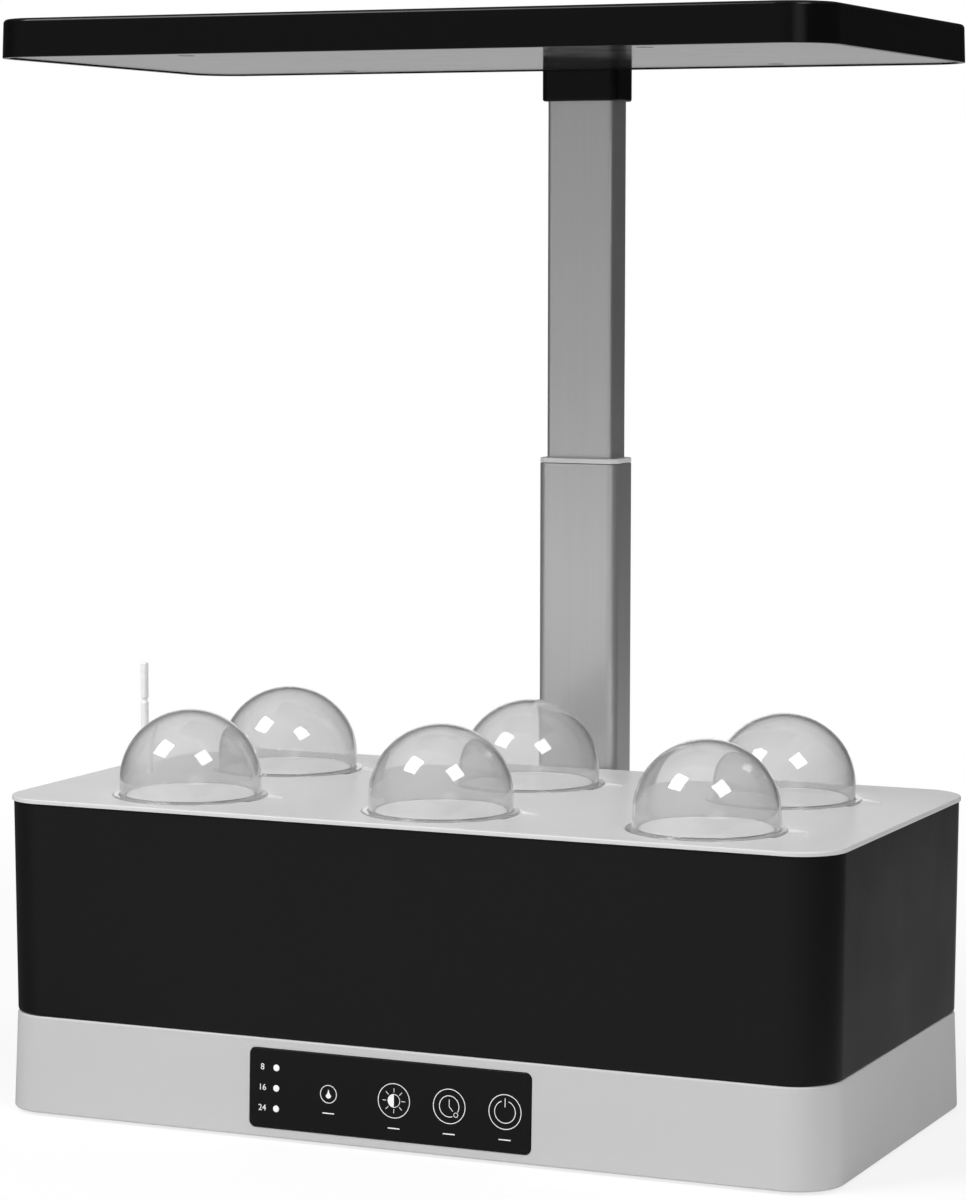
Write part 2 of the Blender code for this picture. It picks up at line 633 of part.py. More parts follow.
def dc_inlet(group):
    """A round power inlet through the back wall, its mouth outwards with a centre pin."""
    inner = INLET_LENGTH - INLET_BORE_DEPTH
    outline = [(0, INLET_LENGTH - INLET_PIN), (INLET_PIN, INLET_LENGTH - INLET_PIN),
               (INLET_PIN, inner), (INLET_BORE, inner), (INLET_BORE, INLET_LENGTH),
               (INLET_FLANGE_RADIUS, INLET_LENGTH), (INLET_FLANGE_RADIUS, INLET_LENGTH - INLET_FLANGE_THICK),
               (INLET_RADIUS, INLET_LENGTH - INLET_FLANGE_THICK), (INLET_RADIUS, 0), (0, 0)]
    obj = add_object("dc_inlet", turned(outline, MIDDLE_STEPS))
    wall_y = DEPTH - base_inset_at(INLET_Z - INLET_FLANGE_RADIUS)
    mouth_y = wall_y + FIT + INLET_FLANGE_THICK
    finish(obj, "black_plastic", (INLET_X, mouth_y - INLET_LENGTH, INLET_Z), group)
    obj.rotation_euler = (-pi / 2, 0, 0)


# Tank


def tank(group):
    height = TANK_RIM_Z - TANK_FLOOR_Z
    body = rounded_block(WIDTH, DEPTH, height, CORNER, low_grow=-TANK_FOOT_INSET,
                         top_grow=-TANK_RIM_INSET, low_edge=TANK_EDGE, base=TANK_FLOOR_Z)
    obj = add_object("tank", body)
    draft = (TANK_FOOT_INSET - TANK_RIM_INSET) / height
    inner = rounded_block(WIDTH - 2 * TANK_WALL, DEPTH - 2 * TANK_WALL,
                          height - TANK_WALL + OVERRUN, CORNER - TANK_WALL,
                          low_grow=-TANK_FOOT_INSET + draft * TANK_WALL,
                          top_grow=-TANK_RIM_INSET + draft * OVERRUN,
                          base=TANK_FLOOR_Z + TANK_WALL)
    combine(obj, as_tool("tank_hollow", inner))
    return finish(obj, "black_plastic", (0, DEPTH / 2, 0), group)


def pump(group):
    low = TANK_FLOOR_Z + TANK_WALL + FIT
    body = rounded_block(PUMP_WIDTH, PUMP_DEPTH, PUMP_HEIGHT, PUMP_CORNER, top_edge=PUMP_EDGE, steps=3)
    obj = add_object("pump", body)
    nozzle = cylinder(PUMP_NOZZLE_RADIUS, PUMP_HEIGHT / 2 + PUMP_NOZZLE_RISE, MIDDLE_STEPS,
                      base=PUMP_HEIGHT / 2)
    nozzle_x = -PUMP_WIDTH / 4
    combine(obj, as_tool("pump_nozzle", nozzle, (nozzle_x, 0, 0)), "UNION")
    bore = cylinder(PUMP_NOZZLE_BORE, PUMP_NOZZLE_RISE + OVERRUN, MIDDLE_STEPS, base=PUMP_HEIGHT)
    combine(obj, as_tool("nozzle_bore", bore, (nozzle_x, 0, 0)))
    finish(obj, "black_plastic", (PUMP_X, PUMP_Y, low), group)

    plate = upright_plate(PUMP_WIDTH - PUMP_CORNER, PUMP_HEIGHT - PUMP_CORNER, GRILLE_THICK, PUMP_EDGE,
                          GRILLE_EDGE)
    cover = add_object("pump_filter", plate)
    inner_width = PUMP_WIDTH - PUMP_CORNER - 2 * GRILLE_MARGIN
    pitch = inner_width / GRILLE_SLOTS
    slots = [moved(rounded_block(GRILLE_SLOT, GRILLE_THICK + 2 * OVERRUN,
                                 PUMP_HEIGHT - PUMP_CORNER - 2 * GRILLE_MARGIN,
                                 base=-(PUMP_HEIGHT - PUMP_CORNER) / 2 + GRILLE_MARGIN),
                   ((number - (GRILLE_SLOTS - 1) / 2) * pitch, GRILLE_THICK / 2, 0))
             for number in range(GRILLE_SLOTS)]
    combine(cover, as_tool("filter_slots", merged(*slots)))
    finish(cover, "light_plastic",
           (PUMP_X, PUMP_Y - PUMP_DEPTH / 2 - FIT - GRILLE_THICK, low + PUMP_HEIGHT / 2), group)


# Planting deck


def deck(group):
    plate = rounded_block(WIDTH, DEPTH, DECK_RIM_THICK, CORNER, low_edge=0, top_edge=DECK_EDGE)
    obj = add_object("deck", plate)
    inset = 2 * (TANK_RIM_INSET + TANK_WALL + FIT)
    plug = rounded_block(WIDTH - inset, DEPTH - inset, DECK_PLUG_DEPTH + DECK_RIM_THICK / 2,
                         CORNER - inset / 2, base=-DECK_PLUG_DEPTH)
    centre_y = DEPTH / 2
    combine(obj, as_tool("deck_plug", plug), "UNION")
    guide = cylinder(ROD_RADIUS + ROD_GUIDE_CLEARANCE + ROD_GUIDE_WALL, ROD_GUIDE_DROP, MIDDLE_STEPS,
                     base=-ROD_GUIDE_DROP)
    combine(obj, as_tool("rod_guide", guide, (FLOAT_X, FLOAT_Y - centre_y, 0)), "UNION")

    recess_base = DECK_RIM_THICK - RECESS_DEPTH
    seat_base = recess_base - BASKET_WALL - FIT
    through = -DECK_PLUG_DEPTH - OVERRUN
    recesses, notches, seats, holes = [], [], [], []
    for _, x, y in pod_places():
        spot = (x, y - centre_y, 0)
        recesses.append(moved(cylinder(DOME_BRIM_RADIUS + FIT, RECESS_DEPTH + OVERRUN,
                                       base=recess_base), spot))
        notch_x = DOME_BRIM_RADIUS + NOTCH_PAST_BRIM - NOTCH_RADIUS
        notches.append(moved(cylinder(NOTCH_RADIUS, NOTCH_DEPTH + OVERRUN, MIDDLE_STEPS,
                                      base=DECK_RIM_THICK - NOTCH_DEPTH),
                             (x + notch_x, y - centre_y, 0)))
        seats.append(moved(cylinder(BASKET_FLANGE_RADIUS + FIT, RECESS_DEPTH + OVERRUN + DECK_RIM_THICK,
                                    base=seat_base), spot))
        holes.append(moved(cylinder(BASKET_TOP_RADIUS + FIT, DECK_PLUG_DEPTH + DECK_RIM_THICK + 2 * OVERRUN,
                                    base=through), spot))
    for name, shapes in (("brim_recesses", recesses), ("finger_notches", notches),
                         ("basket_seats", seats), ("pod_holes", holes)):
        combine(obj, as_tool(name, merged(*shapes)))
    bore = cylinder(ROD_RADIUS + ROD_GUIDE_CLEARANCE, ROD_GUIDE_DROP + DECK_RIM_THICK + 2 * OVERRUN,
                    MIDDLE_STEPS, base=-ROD_GUIDE_DROP - OVERRUN)
    combine(obj, as_tool("rod_bore", bore, (FLOAT_X, FLOAT_Y - centre_y, 0)))
    return finish(obj, "light_plastic", (0, 0, 0), group)


# Pods


def flange_base_z():
    return DECK_TOP_Z - RECESS_DEPTH - BASKET_WALL


def basket_skin():
    """The open skin of a net pod, with its slots left out, its flange at height zero."""
    slope = (BASKET_TOP_RADIUS - BASKET_FOOT_RADIUS) / BASKET_DEPTH
    profile = [(BASKET_FLANGE_RADIUS, 0), (BASKET_TOP_RADIUS, 0)]
    for share in BASKET_BAND_SHARES + (1,):
        drop = share * BASKET_DEPTH
        profile.append((BASKET_TOP_RADIUS - slope * drop, -drop))
    profile.append((BASKET_FOOT_RADIUS * BASKET_FLOOR_SHARE, -BASKET_DEPTH))
    profile.append((0, -BASKET_DEPTH))
    bm = turned(profile)
    upper, lower = (share * BASKET_DEPTH for share in BASKET_BAND_SHARES)
    gone = []
    for face in bm.faces:
        spot = face.calc_center_median()
        column = int((atan2(spot.y, spot.x) % (2 * pi)) / (2 * pi) * ROUND_STEPS)
        on_side = upper < -spot.z < lower
        on_floor = -spot.z > BASKET_DEPTH - MERGE and len(face.verts) == 4
        if (on_side or on_floor) and column % BASKET_COLUMNS_PER_RIB:
            gone.append(face)
    bmesh.ops.delete(bm, geom=gone, context="FACES")
    bmesh.ops.recalc_face_normals(bm, faces=bm.faces)
    return bm


def radial(face):
    """The level direction from the basket's middle to a face."""
    spot = face.calc_center_median()
    return Vector((spot.x, spot.y, 0)).normalized()


def basket(number, group):
    bm = basket_skin()
    wall = max(bm.faces, key=lambda f: abs(f.normal.dot(radial(f))))
    if wall.normal.dot(radial(wall)) < 0:
        bmesh.ops.reverse_faces(bm, faces=bm.faces)
    obj = add_object(f"basket_{number}", bm)
    thicken(obj, BASKET_WALL)
    finish(obj, "black_plastic", (0, 0, 0), group)


def basket_radius_at(drop):
    """The inner radius of the basket, a given drop below its flange."""
    slope = (BASKET_TOP_RADIUS - BASKET_FOOT_RADIUS) / BASKET_DEPTH
    return BASKET_TOP_RADIUS - slope * drop - BASKET_WALL


def sponge(number, group):
    top = SPONGE_TOP_GAP
    top_radius = basket_radius_at(top) - SPONGE_CLEARANCE
    foot_radius = basket_radius_at(top + SPONGE_HEIGHT) - SPONGE_CLEARANCE
    profile = [(0, -SEED_HOLE_DEPTH), (SEED_HOLE_RADIUS, -SEED_HOLE_DEPTH), (SEED_HOLE_RADIUS, 0),
               (top_radius - SPONGE_EDGE, 0), (top_radius, -SPONGE_EDGE),
               (foot_radius, -SPONGE_HEIGHT), (0, -SPONGE_HEIGHT)]
    obj = add_object(f"sponge_{number}", turned(profile, SPONGE_STEPS))
    finish(obj, "sponge", (0, 0, -top), group)


def cover_disc(number, group):
    profile = [(0, DISC_THICK), (DISC_RADIUS - DISC_EDGE, DISC_THICK), (DISC_RADIUS, DISC_THICK - DISC_EDGE),
               (DISC_RADIUS, 0), (0, 0)]
    obj = add_object(f"cover_disc_{number}", turned(profile))
    finish(obj, "light_plastic", (0, 0, BASKET_WALL + FIT), group)


def dome_profile():
    """Down the outside of the dome, round its brim and up the inside, from brim foot height zero."""
    inner = DOME_RADIUS - DOME_WALL
    outer_arc = [(DOME_RADIUS * sin(a), DOME_SKIRT + DOME_RADIUS * cos(a))
                 for a in (n * pi / 2 / DOME_ARC_STEPS for n in range(DOME_ARC_STEPS + 1))]
    inner_arc = [(inner * sin(a), DOME_SKIRT + inner * cos(a))
                 for a in (n * pi / 2 / DOME_ARC_STEPS for n in range(DOME_ARC_STEPS, -1, -1))]
    outer_arc[0] = (0, outer_arc[0][1])
    inner_arc[-1] = (0, inner_arc[-1][1])
    brim = [(DOME_RADIUS, DOME_BRIM_THICK + DOME_FILLET), (DOME_RADIUS + DOME_FILLET, DOME_BRIM_THICK),
            (DOME_BRIM_RADIUS, DOME_BRIM_THICK - DOME_BRIM_EASE), (DOME_BRIM_RADIUS, 0), (inner, 0)]
    return outer_arc + brim + inner_arc


def dome(number, group):
    obj = add_object(f"dome_{number}", turned(dome_profile()))
    finish(obj, "clear_plastic", (0, 0, 0), group)


def pods(deck_group):
    for number, x, y in pod_places():
        seat = (x, y - DEPTH / 2, flange_base_z() - DECK_UNDER_Z)
        basket_group = group_empty(f"pod_{number}_lift", seat, deck_group)
        basket(number, basket_group)
        sponge(number, basket_group)
        cover_disc(number, basket_group)
        brim_z = DECK_TOP_Z - RECESS_DEPTH + FIT - flange_base_z()
        dome_group = group_empty(f"dome_{number}_lift", (0, 0, brim_z), basket_group)
        dome(number, dome_group)


# Water level float


def level_float(group):
    obj = add_object("level_float", turned([
        (0, FLOAT_HEIGHT - FLOAT_BORE_DEPTH), (ROD_RADIUS + FIT, FLOAT_HEIGHT - FLOAT_BORE_DEPTH),
        (ROD_RADIUS + FIT, FLOAT_HEIGHT), (FLOAT_RADIUS - FLOAT_EDGE, FLOAT_HEIGHT),
        (FLOAT_RADIUS, FLOAT_HEIGHT - FLOAT_EDGE), (FLOAT_RADIUS, FLOAT_EDGE),
        (FLOAT_RADIUS - FLOAT_EDGE, 0), (0, 0)], MIDDLE_STEPS))
    finish(obj, "white_plastic", (0, 0, 0), group)
    foot = FLOAT_HEIGHT - FLOAT_BORE_DEPTH + FIT
    top = ROD_TOP_Z - float_base_z()
    groove = ROD_GROOVE_Z - float_base_z()
    neck = ROD_RADIUS - ROD_GROOVE_DEPTH
    rod = add_object("float_rod", turned([
        (0, top), (ROD_RADIUS - ROD_TIP, top), (ROD_RADIUS, top - ROD_TIP),
        (ROD_RADIUS, groove + ROD_GROOVE_WIDTH / 2), (neck, groove + ROD_GROOVE_WIDTH / 4),
        (neck, groove - ROD_GROOVE_WIDTH / 4), (ROD_RADIUS, groove - ROD_GROOVE_WIDTH / 2),
        (ROD_RADIUS, foot), (0, foot)], SMALL_STEPS))
    finish(rod, "white_plastic", (0, 0, 0), group)


def float_base_z():
    return TANK_FLOOR_Z + TANK_WALL + FIT


# Mast


def mast(root, moving):
    skin = tube_skin(MAST_WIDTH, MAST_DEPTH, MAST_CORNER, SOCKET_FLOOR_Z + FIT, MAST_TOP_Z)
    outer = add_object("mast_outer_tube", skin)
    thicken(outer, MAST_WALL)
    finish(outer, "painted_tube", (0, MAST_MID_Y, 0), root)

    ring = rounded_block(MAST_WIDTH, MAST_DEPTH, COLLAR_THICK, MAST_CORNER, top_edge=COLLAR_EDGE)
    collar = add_object("mast_collar", ring)
    hole = rounded_block(TUBE_WIDTH + 2 * FIT, TUBE_DEPTH + 2 * FIT, COLLAR_THICK + 2 * OVERRUN,
                         TUBE_CORNER + FIT, base=-OVERRUN)
    combine(collar, as_tool("collar_hole", hole))
    finish(collar, "white_plastic", (0, MAST_MID_Y, COLLAR_TOP_Z - COLLAR_THICK), root)

    skin = tube_skin(TUBE_WIDTH, TUBE_DEPTH, TUBE_CORNER, TUBE_FOOT_Z, tube_top_z())
    inner = add_object("mast_inner_tube", skin)
    thicken(inner, TUBE_WALL)
    finish(inner, "painted_tube", (0, 0, 0), moving)


def mast_glide(group):
    """The slider at the inner tube's foot: a flange that fills the outer tube, plugged into the inner."""
    flange = rounded_block(MAST_WIDTH - 2 * (MAST_WALL + GLIDE_CLEARANCE),
                           MAST_DEPTH - 2 * (MAST_WALL + GLIDE_CLEARANCE), GLIDE_FLANGE,
                           MAST_CORNER - MAST_WALL - GLIDE_CLEARANCE, steps=3,
                           base=TUBE_FOOT_Z - FIT - GLIDE_FLANGE)
    glide = add_object("mast_glide", flange)
    plug_width = TUBE_WIDTH - 2 * (TUBE_WALL + GLIDE_CLEARANCE)
    plug_depth = TUBE_DEPTH - 2 * (TUBE_WALL + GLIDE_CLEARANCE)
    plug = rounded_block(plug_width, plug_depth, GLIDE_PLUG + GLIDE_FLANGE, TUBE_CORNER - TUBE_WALL,
                         steps=3, base=TUBE_FOOT_Z - FIT - GLIDE_FLANGE / 2)
    combine(glide, as_tool("glide_plug", plug), "UNION")
    core = rounded_block(plug_width - 2 * PLUG_WALL, plug_depth - 2 * PLUG_WALL,
                         GLIDE_PLUG + 2 * GLIDE_FLANGE + 2 * OVERRUN,
                         base=TUBE_FOOT_Z - GLIDE_FLANGE - OVERRUN)
    combine(glide, as_tool("glide_core", core))
    finish(glide, "white_plastic", (0, 0, 0), group)


def tube_top_z():
    return bracket_top_z() - BRACKET_ROOF - FIT


# Lamp head


def bracket_top_z():
    return LAMP_UNDER_Z + LAMP_THICK - BRACKET_DROP_FROM_TOP


def lamp_place(rise, x=0, y=0):
    """A place given from the middle of the lamp's underside, in the space of the moving mast."""
    return (x, LAMP_MID_Y + y - MAST_MID_Y, LAMP_UNDER_Z + rise)


def lamp_inset_at(rise):
    """How far the lamp's sides are drawn in, a given rise above its underside."""
    return LAMP_TOP_INSET * rise / LAMP_THICK


def lamp_housing(group):
    """A shallow tray, open below, with four screw bosses and two blocks for the bracket."""
    body = rounded_block(LAMP_WIDTH, LAMP_DEPTH, LAMP_THICK, LAMP_CORNER, top_grow=-LAMP_TOP_INSET,
                         low_edge=0, top_edge=LAMP_EDGE)
    obj = add_object("lamp_housing", body)
    hollow = rounded_block(LAMP_WIDTH - 2 * LAMP_WALL, LAMP_DEPTH - 2 * LAMP_WALL,
                           LAMP_THICK - LAMP_ROOF + OVERRUN, LAMP_CORNER - LAMP_WALL,
                           low_grow=-lamp_inset_at(-OVERRUN),
                           top_grow=-lamp_inset_at(LAMP_THICK - LAMP_ROOF), base=-OVERRUN)
    combine(obj, as_tool("lamp_hollow", hollow))
    boss_foot = PANEL_RECESS + PANEL_THICK + FIT
    rise = LAMP_THICK - LAMP_ROOF / 2 - boss_foot
    bosses = [moved(cylinder(LAMP_BOSS_RADIUS, rise, SMALL_STEPS, base=boss_foot), (x, y, 0))
              for _, x, y in lamp_screw_places()]
    ear_y = LAMP_DEPTH / 2 - EAR_BOSS_DEPTH / 2
    ear_blocks = [moved(rounded_block(EAR_BOSS_WIDTH, EAR_BOSS_DEPTH, rise, base=boss_foot),
                        (side * EAR_SCREW_X, ear_y, 0)) for side in (-1, 1)]
    combine(obj, as_tool("lamp_bosses", merged(*bosses, *ear_blocks)), "UNION")
    holes = [moved(cylinder(SCREW_SHANK + FIT, LAMP_SCREW_LENGTH + FIT, SCREW_STEPS,
                            base=LAMP_SCREW_SINK + SCREW_HEAD_HEIGHT), (x, y, 0))
             for _, x, y in lamp_screw_places()]
    combine(obj, as_tool("lamp_boss_holes", merged(*holes)))
    ear_holes = [moved(cylinder(SCREW_SHANK + FIT, EAR_SCREW_LENGTH + LAMP_WALL, SCREW_STEPS, axis="Y"),
                       (side * EAR_SCREW_X, LAMP_DEPTH / 2 - EAR_SCREW_LENGTH + LAMP_WALL,
                        ear_screw_rise()))
                 for side in (-1, 1)]
    combine(obj, as_tool("ear_screw_holes", merged(*ear_holes)))
    finish(obj, "black_plastic", lamp_place(0), group)


def ear_screw_rise():
    return LAMP_THICK / 2 + LAMP_ROOF / 2


def lamp_screw_places():
    names = ("front_left", "front_right", "back_left", "back_right")
    signs = ((-1, -1), (1, -1), (-1, 1), (1, 1))
    for name, (sx, sy) in zip(names, signs):
        yield name, sx * LAMP_SCREW_X, sy * LAMP_SCREW_Y


def lamp_panel(group):
    """The glossy plate that closes the lamp from below."""
    inset = 2 * (LAMP_WALL + PANEL_GAP)
    plate = rounded_block(LAMP_WIDTH - inset, LAMP_DEPTH - inset, PANEL_THICK, LAMP_CORNER - inset / 2,
                          low_grow=-lamp_inset_at(PANEL_RECESS),
                          top_grow=-lamp_inset_at(PANEL_RECESS + PANEL_THICK))
    obj = add_object("lamp_panel", plate)
    sink = LAMP_SCREW_SINK + SCREW_HEAD_HEIGHT + FIT - PANEL_RECESS
    holes = [moved(cylinder(LAMP_SCREW_HOLE, sink + OVERRUN, SMALL_STEPS, base=-OVERRUN), (x, y, 0))
             for _, x, y in lamp_screw_places()]
    combine(obj, as_tool("panel_sinks", merged(*holes)))
    shanks = [moved(cylinder(SCREW_SHANK + FIT, PANEL_THICK + 2 * OVERRUN, SCREW_STEPS, base=-OVERRUN),
                    (x, y, 0)) for _, x, y in lamp_screw_places()]
    combine(obj, as_tool("panel_holes", merged(*shanks)))
    finish(obj, "mirror_panel", lamp_place(PANEL_RECESS), group)


def led_board(group):
    """A board under the lamp's roof, with a grid of raised light chips facing down."""
    obj = add_object("led_board", rounded_block(LED_BOARD_WIDTH, LED_BOARD_DEPTH, LED_BOARD_THICK))
    size = LED_SIZE_SHARE * LED_BOARD_DEPTH
    chips = []
    for column in range(LED_COLUMNS):
        for row in range(LED_ROWS):
            x = ((column + 0.5) / LED_COLUMNS - 0.5) * LED_BOARD_WIDTH
            y = ((row + 0.5) / LED_ROWS - 0.5) * LED_BOARD_DEPTH
            chip = rounded_block(size, size, LED_HEIGHT + LED_BOARD_THICK / 2, base=-LED_HEIGHT)
            chips.append(moved(chip, (x, y, 0)))
    combine(obj, as_tool("led_chips", merged(*chips)), "UNION")
    finish(obj, "white_plastic", lamp_place(LAMP_THICK - LAMP_ROOF - FIT - LED_BOARD_THICK), group)


def lamp_screws(group):
    for name, x, y in lamp_screw_places():
        add_screw("lamp_screw_" + name, LAMP_SCREW_LENGTH, lamp_place(LAMP_SCREW_SINK, x, y), group)


def lamp_bracket(group):
    """A sleeve over the mast's top end with two ears behind the lamp."""
    width = TUBE_WIDTH + 2 * (FIT + BRACKET_WALL)
    height = bracket_top_z() - BRACKET_UNDER_Z
    obj = add_object("lamp_bracket", rounded_block(width, BRACKET_DEPTH, height, BRACKET_CORNER,
                                                   low_edge=BRACKET_EDGE, top_edge=BRACKET_EDGE))
    ear_foot = LAMP_UNDER_Z + EAR_MARGIN_Z - BRACKET_UNDER_Z
    ear_height = height - ear_foot - EAR_MARGIN_Z
    ears = moved(upright_plate(EAR_WIDTH, ear_height, EAR_THICK, EAR_MARGIN_Z),
                 (0, -BRACKET_DEPTH / 2, ear_foot + ear_height / 2))
    combine(obj, as_tool("bracket_ears", ears), "UNION")
    bore = rounded_block(TUBE_WIDTH + 2 * FIT, TUBE_DEPTH + 2 * FIT, height - BRACKET_ROOF + OVERRUN,
                         TUBE_CORNER + FIT, base=-OVERRUN)
    combine(obj, as_tool("bracket_bore", bore))
    screw_z = LAMP_UNDER_Z + ear_screw_rise() - BRACKET_UNDER_Z
    holes = [moved(cylinder(SCREW_SHANK + FIT, EAR_THICK + 2 * OVERRUN, SCREW_STEPS, base=-OVERRUN, axis="Y"),
                   (side * EAR_SCREW_X, -BRACKET_DEPTH / 2, screw_z)) for side in (-1, 1)]
    combine(obj, as_tool("ear_holes", merged(*holes)))
    finish(obj, "black_plastic", (0, 0, BRACKET_UNDER_Z), group)


def bracket_screws(group):
    head_y = EAR_THICK + FIT + SCREW_HEAD_HEIGHT - BRACKET_DEPTH / 2
    for name, side in (("left", -1), ("right", 1)):
        add_screw("bracket_screw_" + name, EAR_SCREW_LENGTH,
                  (side * EAR_SCREW_X, head_y, LAMP_UNDER_Z + ear_screw_rise()), group,
                  (pi / 2, 0, 0), EAR_SCREW_HEAD_RADIUS)


def build():
    garden = group_empty("garden", (0, FRONT_EDGE_Y, 0))
    for make in (base_housing, bottom_cover, feet, base_screws, control_fascia, control_board,
                 dc_inlet, tank, pump):
        make(garden)
    deck_group = group_empty("deck_lift", (0, DEPTH / 2, DECK_UNDER_Z), garden)
    deck(deck_group)
    pods(deck_group)
    level_float(group_empty("float_slide", (FLOAT_X, FLOAT_Y, float_base_z()), garden))
    lamp_group = group_empty("mast_slide", (0, MAST_MID_Y, 0), garden)
    mast(garden, lamp_group)
    for make in (mast_glide, lamp_bracket, bracket_screws, lamp_housing, lamp_panel, led_board, lamp_screws):
        make(lamp_group)


build()
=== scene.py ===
"""The look of the countertop hydroponic garden.

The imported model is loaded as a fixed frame. Each piece that shows is modelled over its solid, given
its finish, and set to ride on the body that carries it. Lengths are metres: +X is to the right of
the keys, -Y is the front, +Z is up, and the table is at height zero.
"""

from math import atan2, cos, pi, radians, sin

import bmesh
import bpy
from mathutils import Matrix, Vector

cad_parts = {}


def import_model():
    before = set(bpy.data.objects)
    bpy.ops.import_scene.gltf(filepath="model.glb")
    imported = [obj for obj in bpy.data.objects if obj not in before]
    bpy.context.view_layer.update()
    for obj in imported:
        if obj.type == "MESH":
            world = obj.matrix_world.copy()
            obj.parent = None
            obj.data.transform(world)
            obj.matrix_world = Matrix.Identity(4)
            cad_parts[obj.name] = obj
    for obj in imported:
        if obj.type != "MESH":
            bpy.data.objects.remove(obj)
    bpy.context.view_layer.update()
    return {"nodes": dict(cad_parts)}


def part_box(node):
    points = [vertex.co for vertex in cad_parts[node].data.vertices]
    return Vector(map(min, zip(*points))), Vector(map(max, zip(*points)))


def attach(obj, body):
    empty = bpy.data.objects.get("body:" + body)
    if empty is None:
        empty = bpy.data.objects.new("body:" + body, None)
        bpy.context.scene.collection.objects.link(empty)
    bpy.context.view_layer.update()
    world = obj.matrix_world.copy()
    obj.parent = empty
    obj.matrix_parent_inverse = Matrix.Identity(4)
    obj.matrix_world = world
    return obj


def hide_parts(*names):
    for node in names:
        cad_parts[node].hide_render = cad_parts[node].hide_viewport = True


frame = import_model()
nodes = frame["nodes"]

MM = 0.001
TOUCH = 0.005 * MM
CORNERS = ("front_left", "front_right", "back_left", "back_right")
POD_NUMBERS = range(1, 7)


# Modelling helpers


def clear_selection():
    if bpy.context.mode != "OBJECT":
        bpy.ops.object.mode_set(mode="OBJECT")
    bpy.ops.object.select_all(action="DESELECT")


def take(obj):
    """Select one piece alone and make it the active one."""
    clear_selection()
    obj.select_set(True)
    bpy.context.view_layer.objects.active = obj


def enter(obj):
    """Open a piece for editing, with nothing else selected."""
    take(obj)
    bpy.ops.object.mode_set(mode="EDIT")


def leave():
    bpy.ops.object.mode_set(mode="OBJECT")


def name_new(name):
    """Name the primitive that was just added and open it for editing."""
    obj = bpy.context.object
    obj.name = name
    obj.data.name = name
    bpy.ops.object.mode_set(mode="EDIT")
    return obj


def pick(kind, test):
    """Select the vertices, edges or faces whose place passes the test."""
    bpy.ops.mesh.select_mode(type=kind)
    bpy.ops.mesh.select_all(action="DESELECT")
    mesh = bpy.context.object.data
    edited = bmesh.from_edit_mesh(mesh)
    edited.normal_update()
    for part in {"VERT": edited.verts, "EDGE": edited.edges, "FACE": edited.faces}[kind]:
        if test(part):
            part.select_set(True)
    edited.select_flush_mode()
    bmesh.update_edit_mesh(mesh)


def corners_of(part):
    return part.verts if hasattr(part, "verts") else (part,)


def at_level(z):
    return lambda part: all(abs(v.co.z - z) < TOUCH for v in corners_of(part))


def rim_at(z):
    """The edges at a level where a flat face meets a side."""
    return lambda edge: (at_level(z)(edge)
                         and any(abs(face.normal.z) < 0.7 for face in edge.link_faces))


def upright(edge):
    first, second = edge.verts
    return (first.co - second.co).xy.length < TOUCH < abs(first.co.z - second.co.z)


def case(name, low, high, corner=0, top_inset=0, foot_inset=0, top_edge=0, foot_edge=0,
         steps=14, edge_steps=4):
    """A block between two corners with rounded uprights, drawn-in ends and eased rims."""
    low, high = Vector(low), Vector(high)
    middle, size = (low + high) / 2, high - low
    clear_selection()
    bpy.ops.mesh.primitive_cube_add(size=1)
    obj = name_new(name)
    bpy.ops.transform.resize(value=size)
    bpy.ops.transform.translate(value=middle)
    if corner:
        pick("EDGE", upright)
        bpy.ops.mesh.bevel(offset=corner, segments=steps, affect="EDGES")
    for z, inset in ((high.z, top_inset), (low.z, foot_inset)):
        if inset:
            pick("VERT", at_level(z))
            bpy.ops.transform.resize(value=(1 - 2 * inset / size.x, 1 - 2 * inset / size.y, 1),
                                     center_override=(middle.x, middle.y, z))
    for z, edge in ((high.z, top_edge), (low.z, foot_edge)):
        if edge:
            pick("EDGE", rim_at(z))
            bpy.ops.mesh.bevel(offset=edge, segments=edge_steps, affect="EDGES")
    leave()
    return obj


def sink(obj, z, wall, depth, floor_edge=0):
    """Inset the flat face at height z by a wall and push it in, by a depth that may be negative."""
    enter(obj)
    pick("FACE", at_level(z))
    bpy.ops.mesh.inset(thickness=wall)
    bpy.ops.mesh.extrude_region_move(TRANSFORM_OT_translate={"value": (0, 0, depth)})
    if floor_edge:
        pick("EDGE", rim_at(z + depth))
        bpy.ops.mesh.bevel(offset=floor_edge, segments=3, affect="EDGES")
    leave()


def tunnel(obj, low_z, high_z, wall):
    """Open a block from end to end, leaving a wall."""
    enter(obj)
    pick("FACE", lambda face: at_level(low_z)(face) or at_level(high_z)(face))
    bpy.ops.mesh.inset(thickness=wall)
    bpy.ops.mesh.bridge_edge_loops()
    leave()


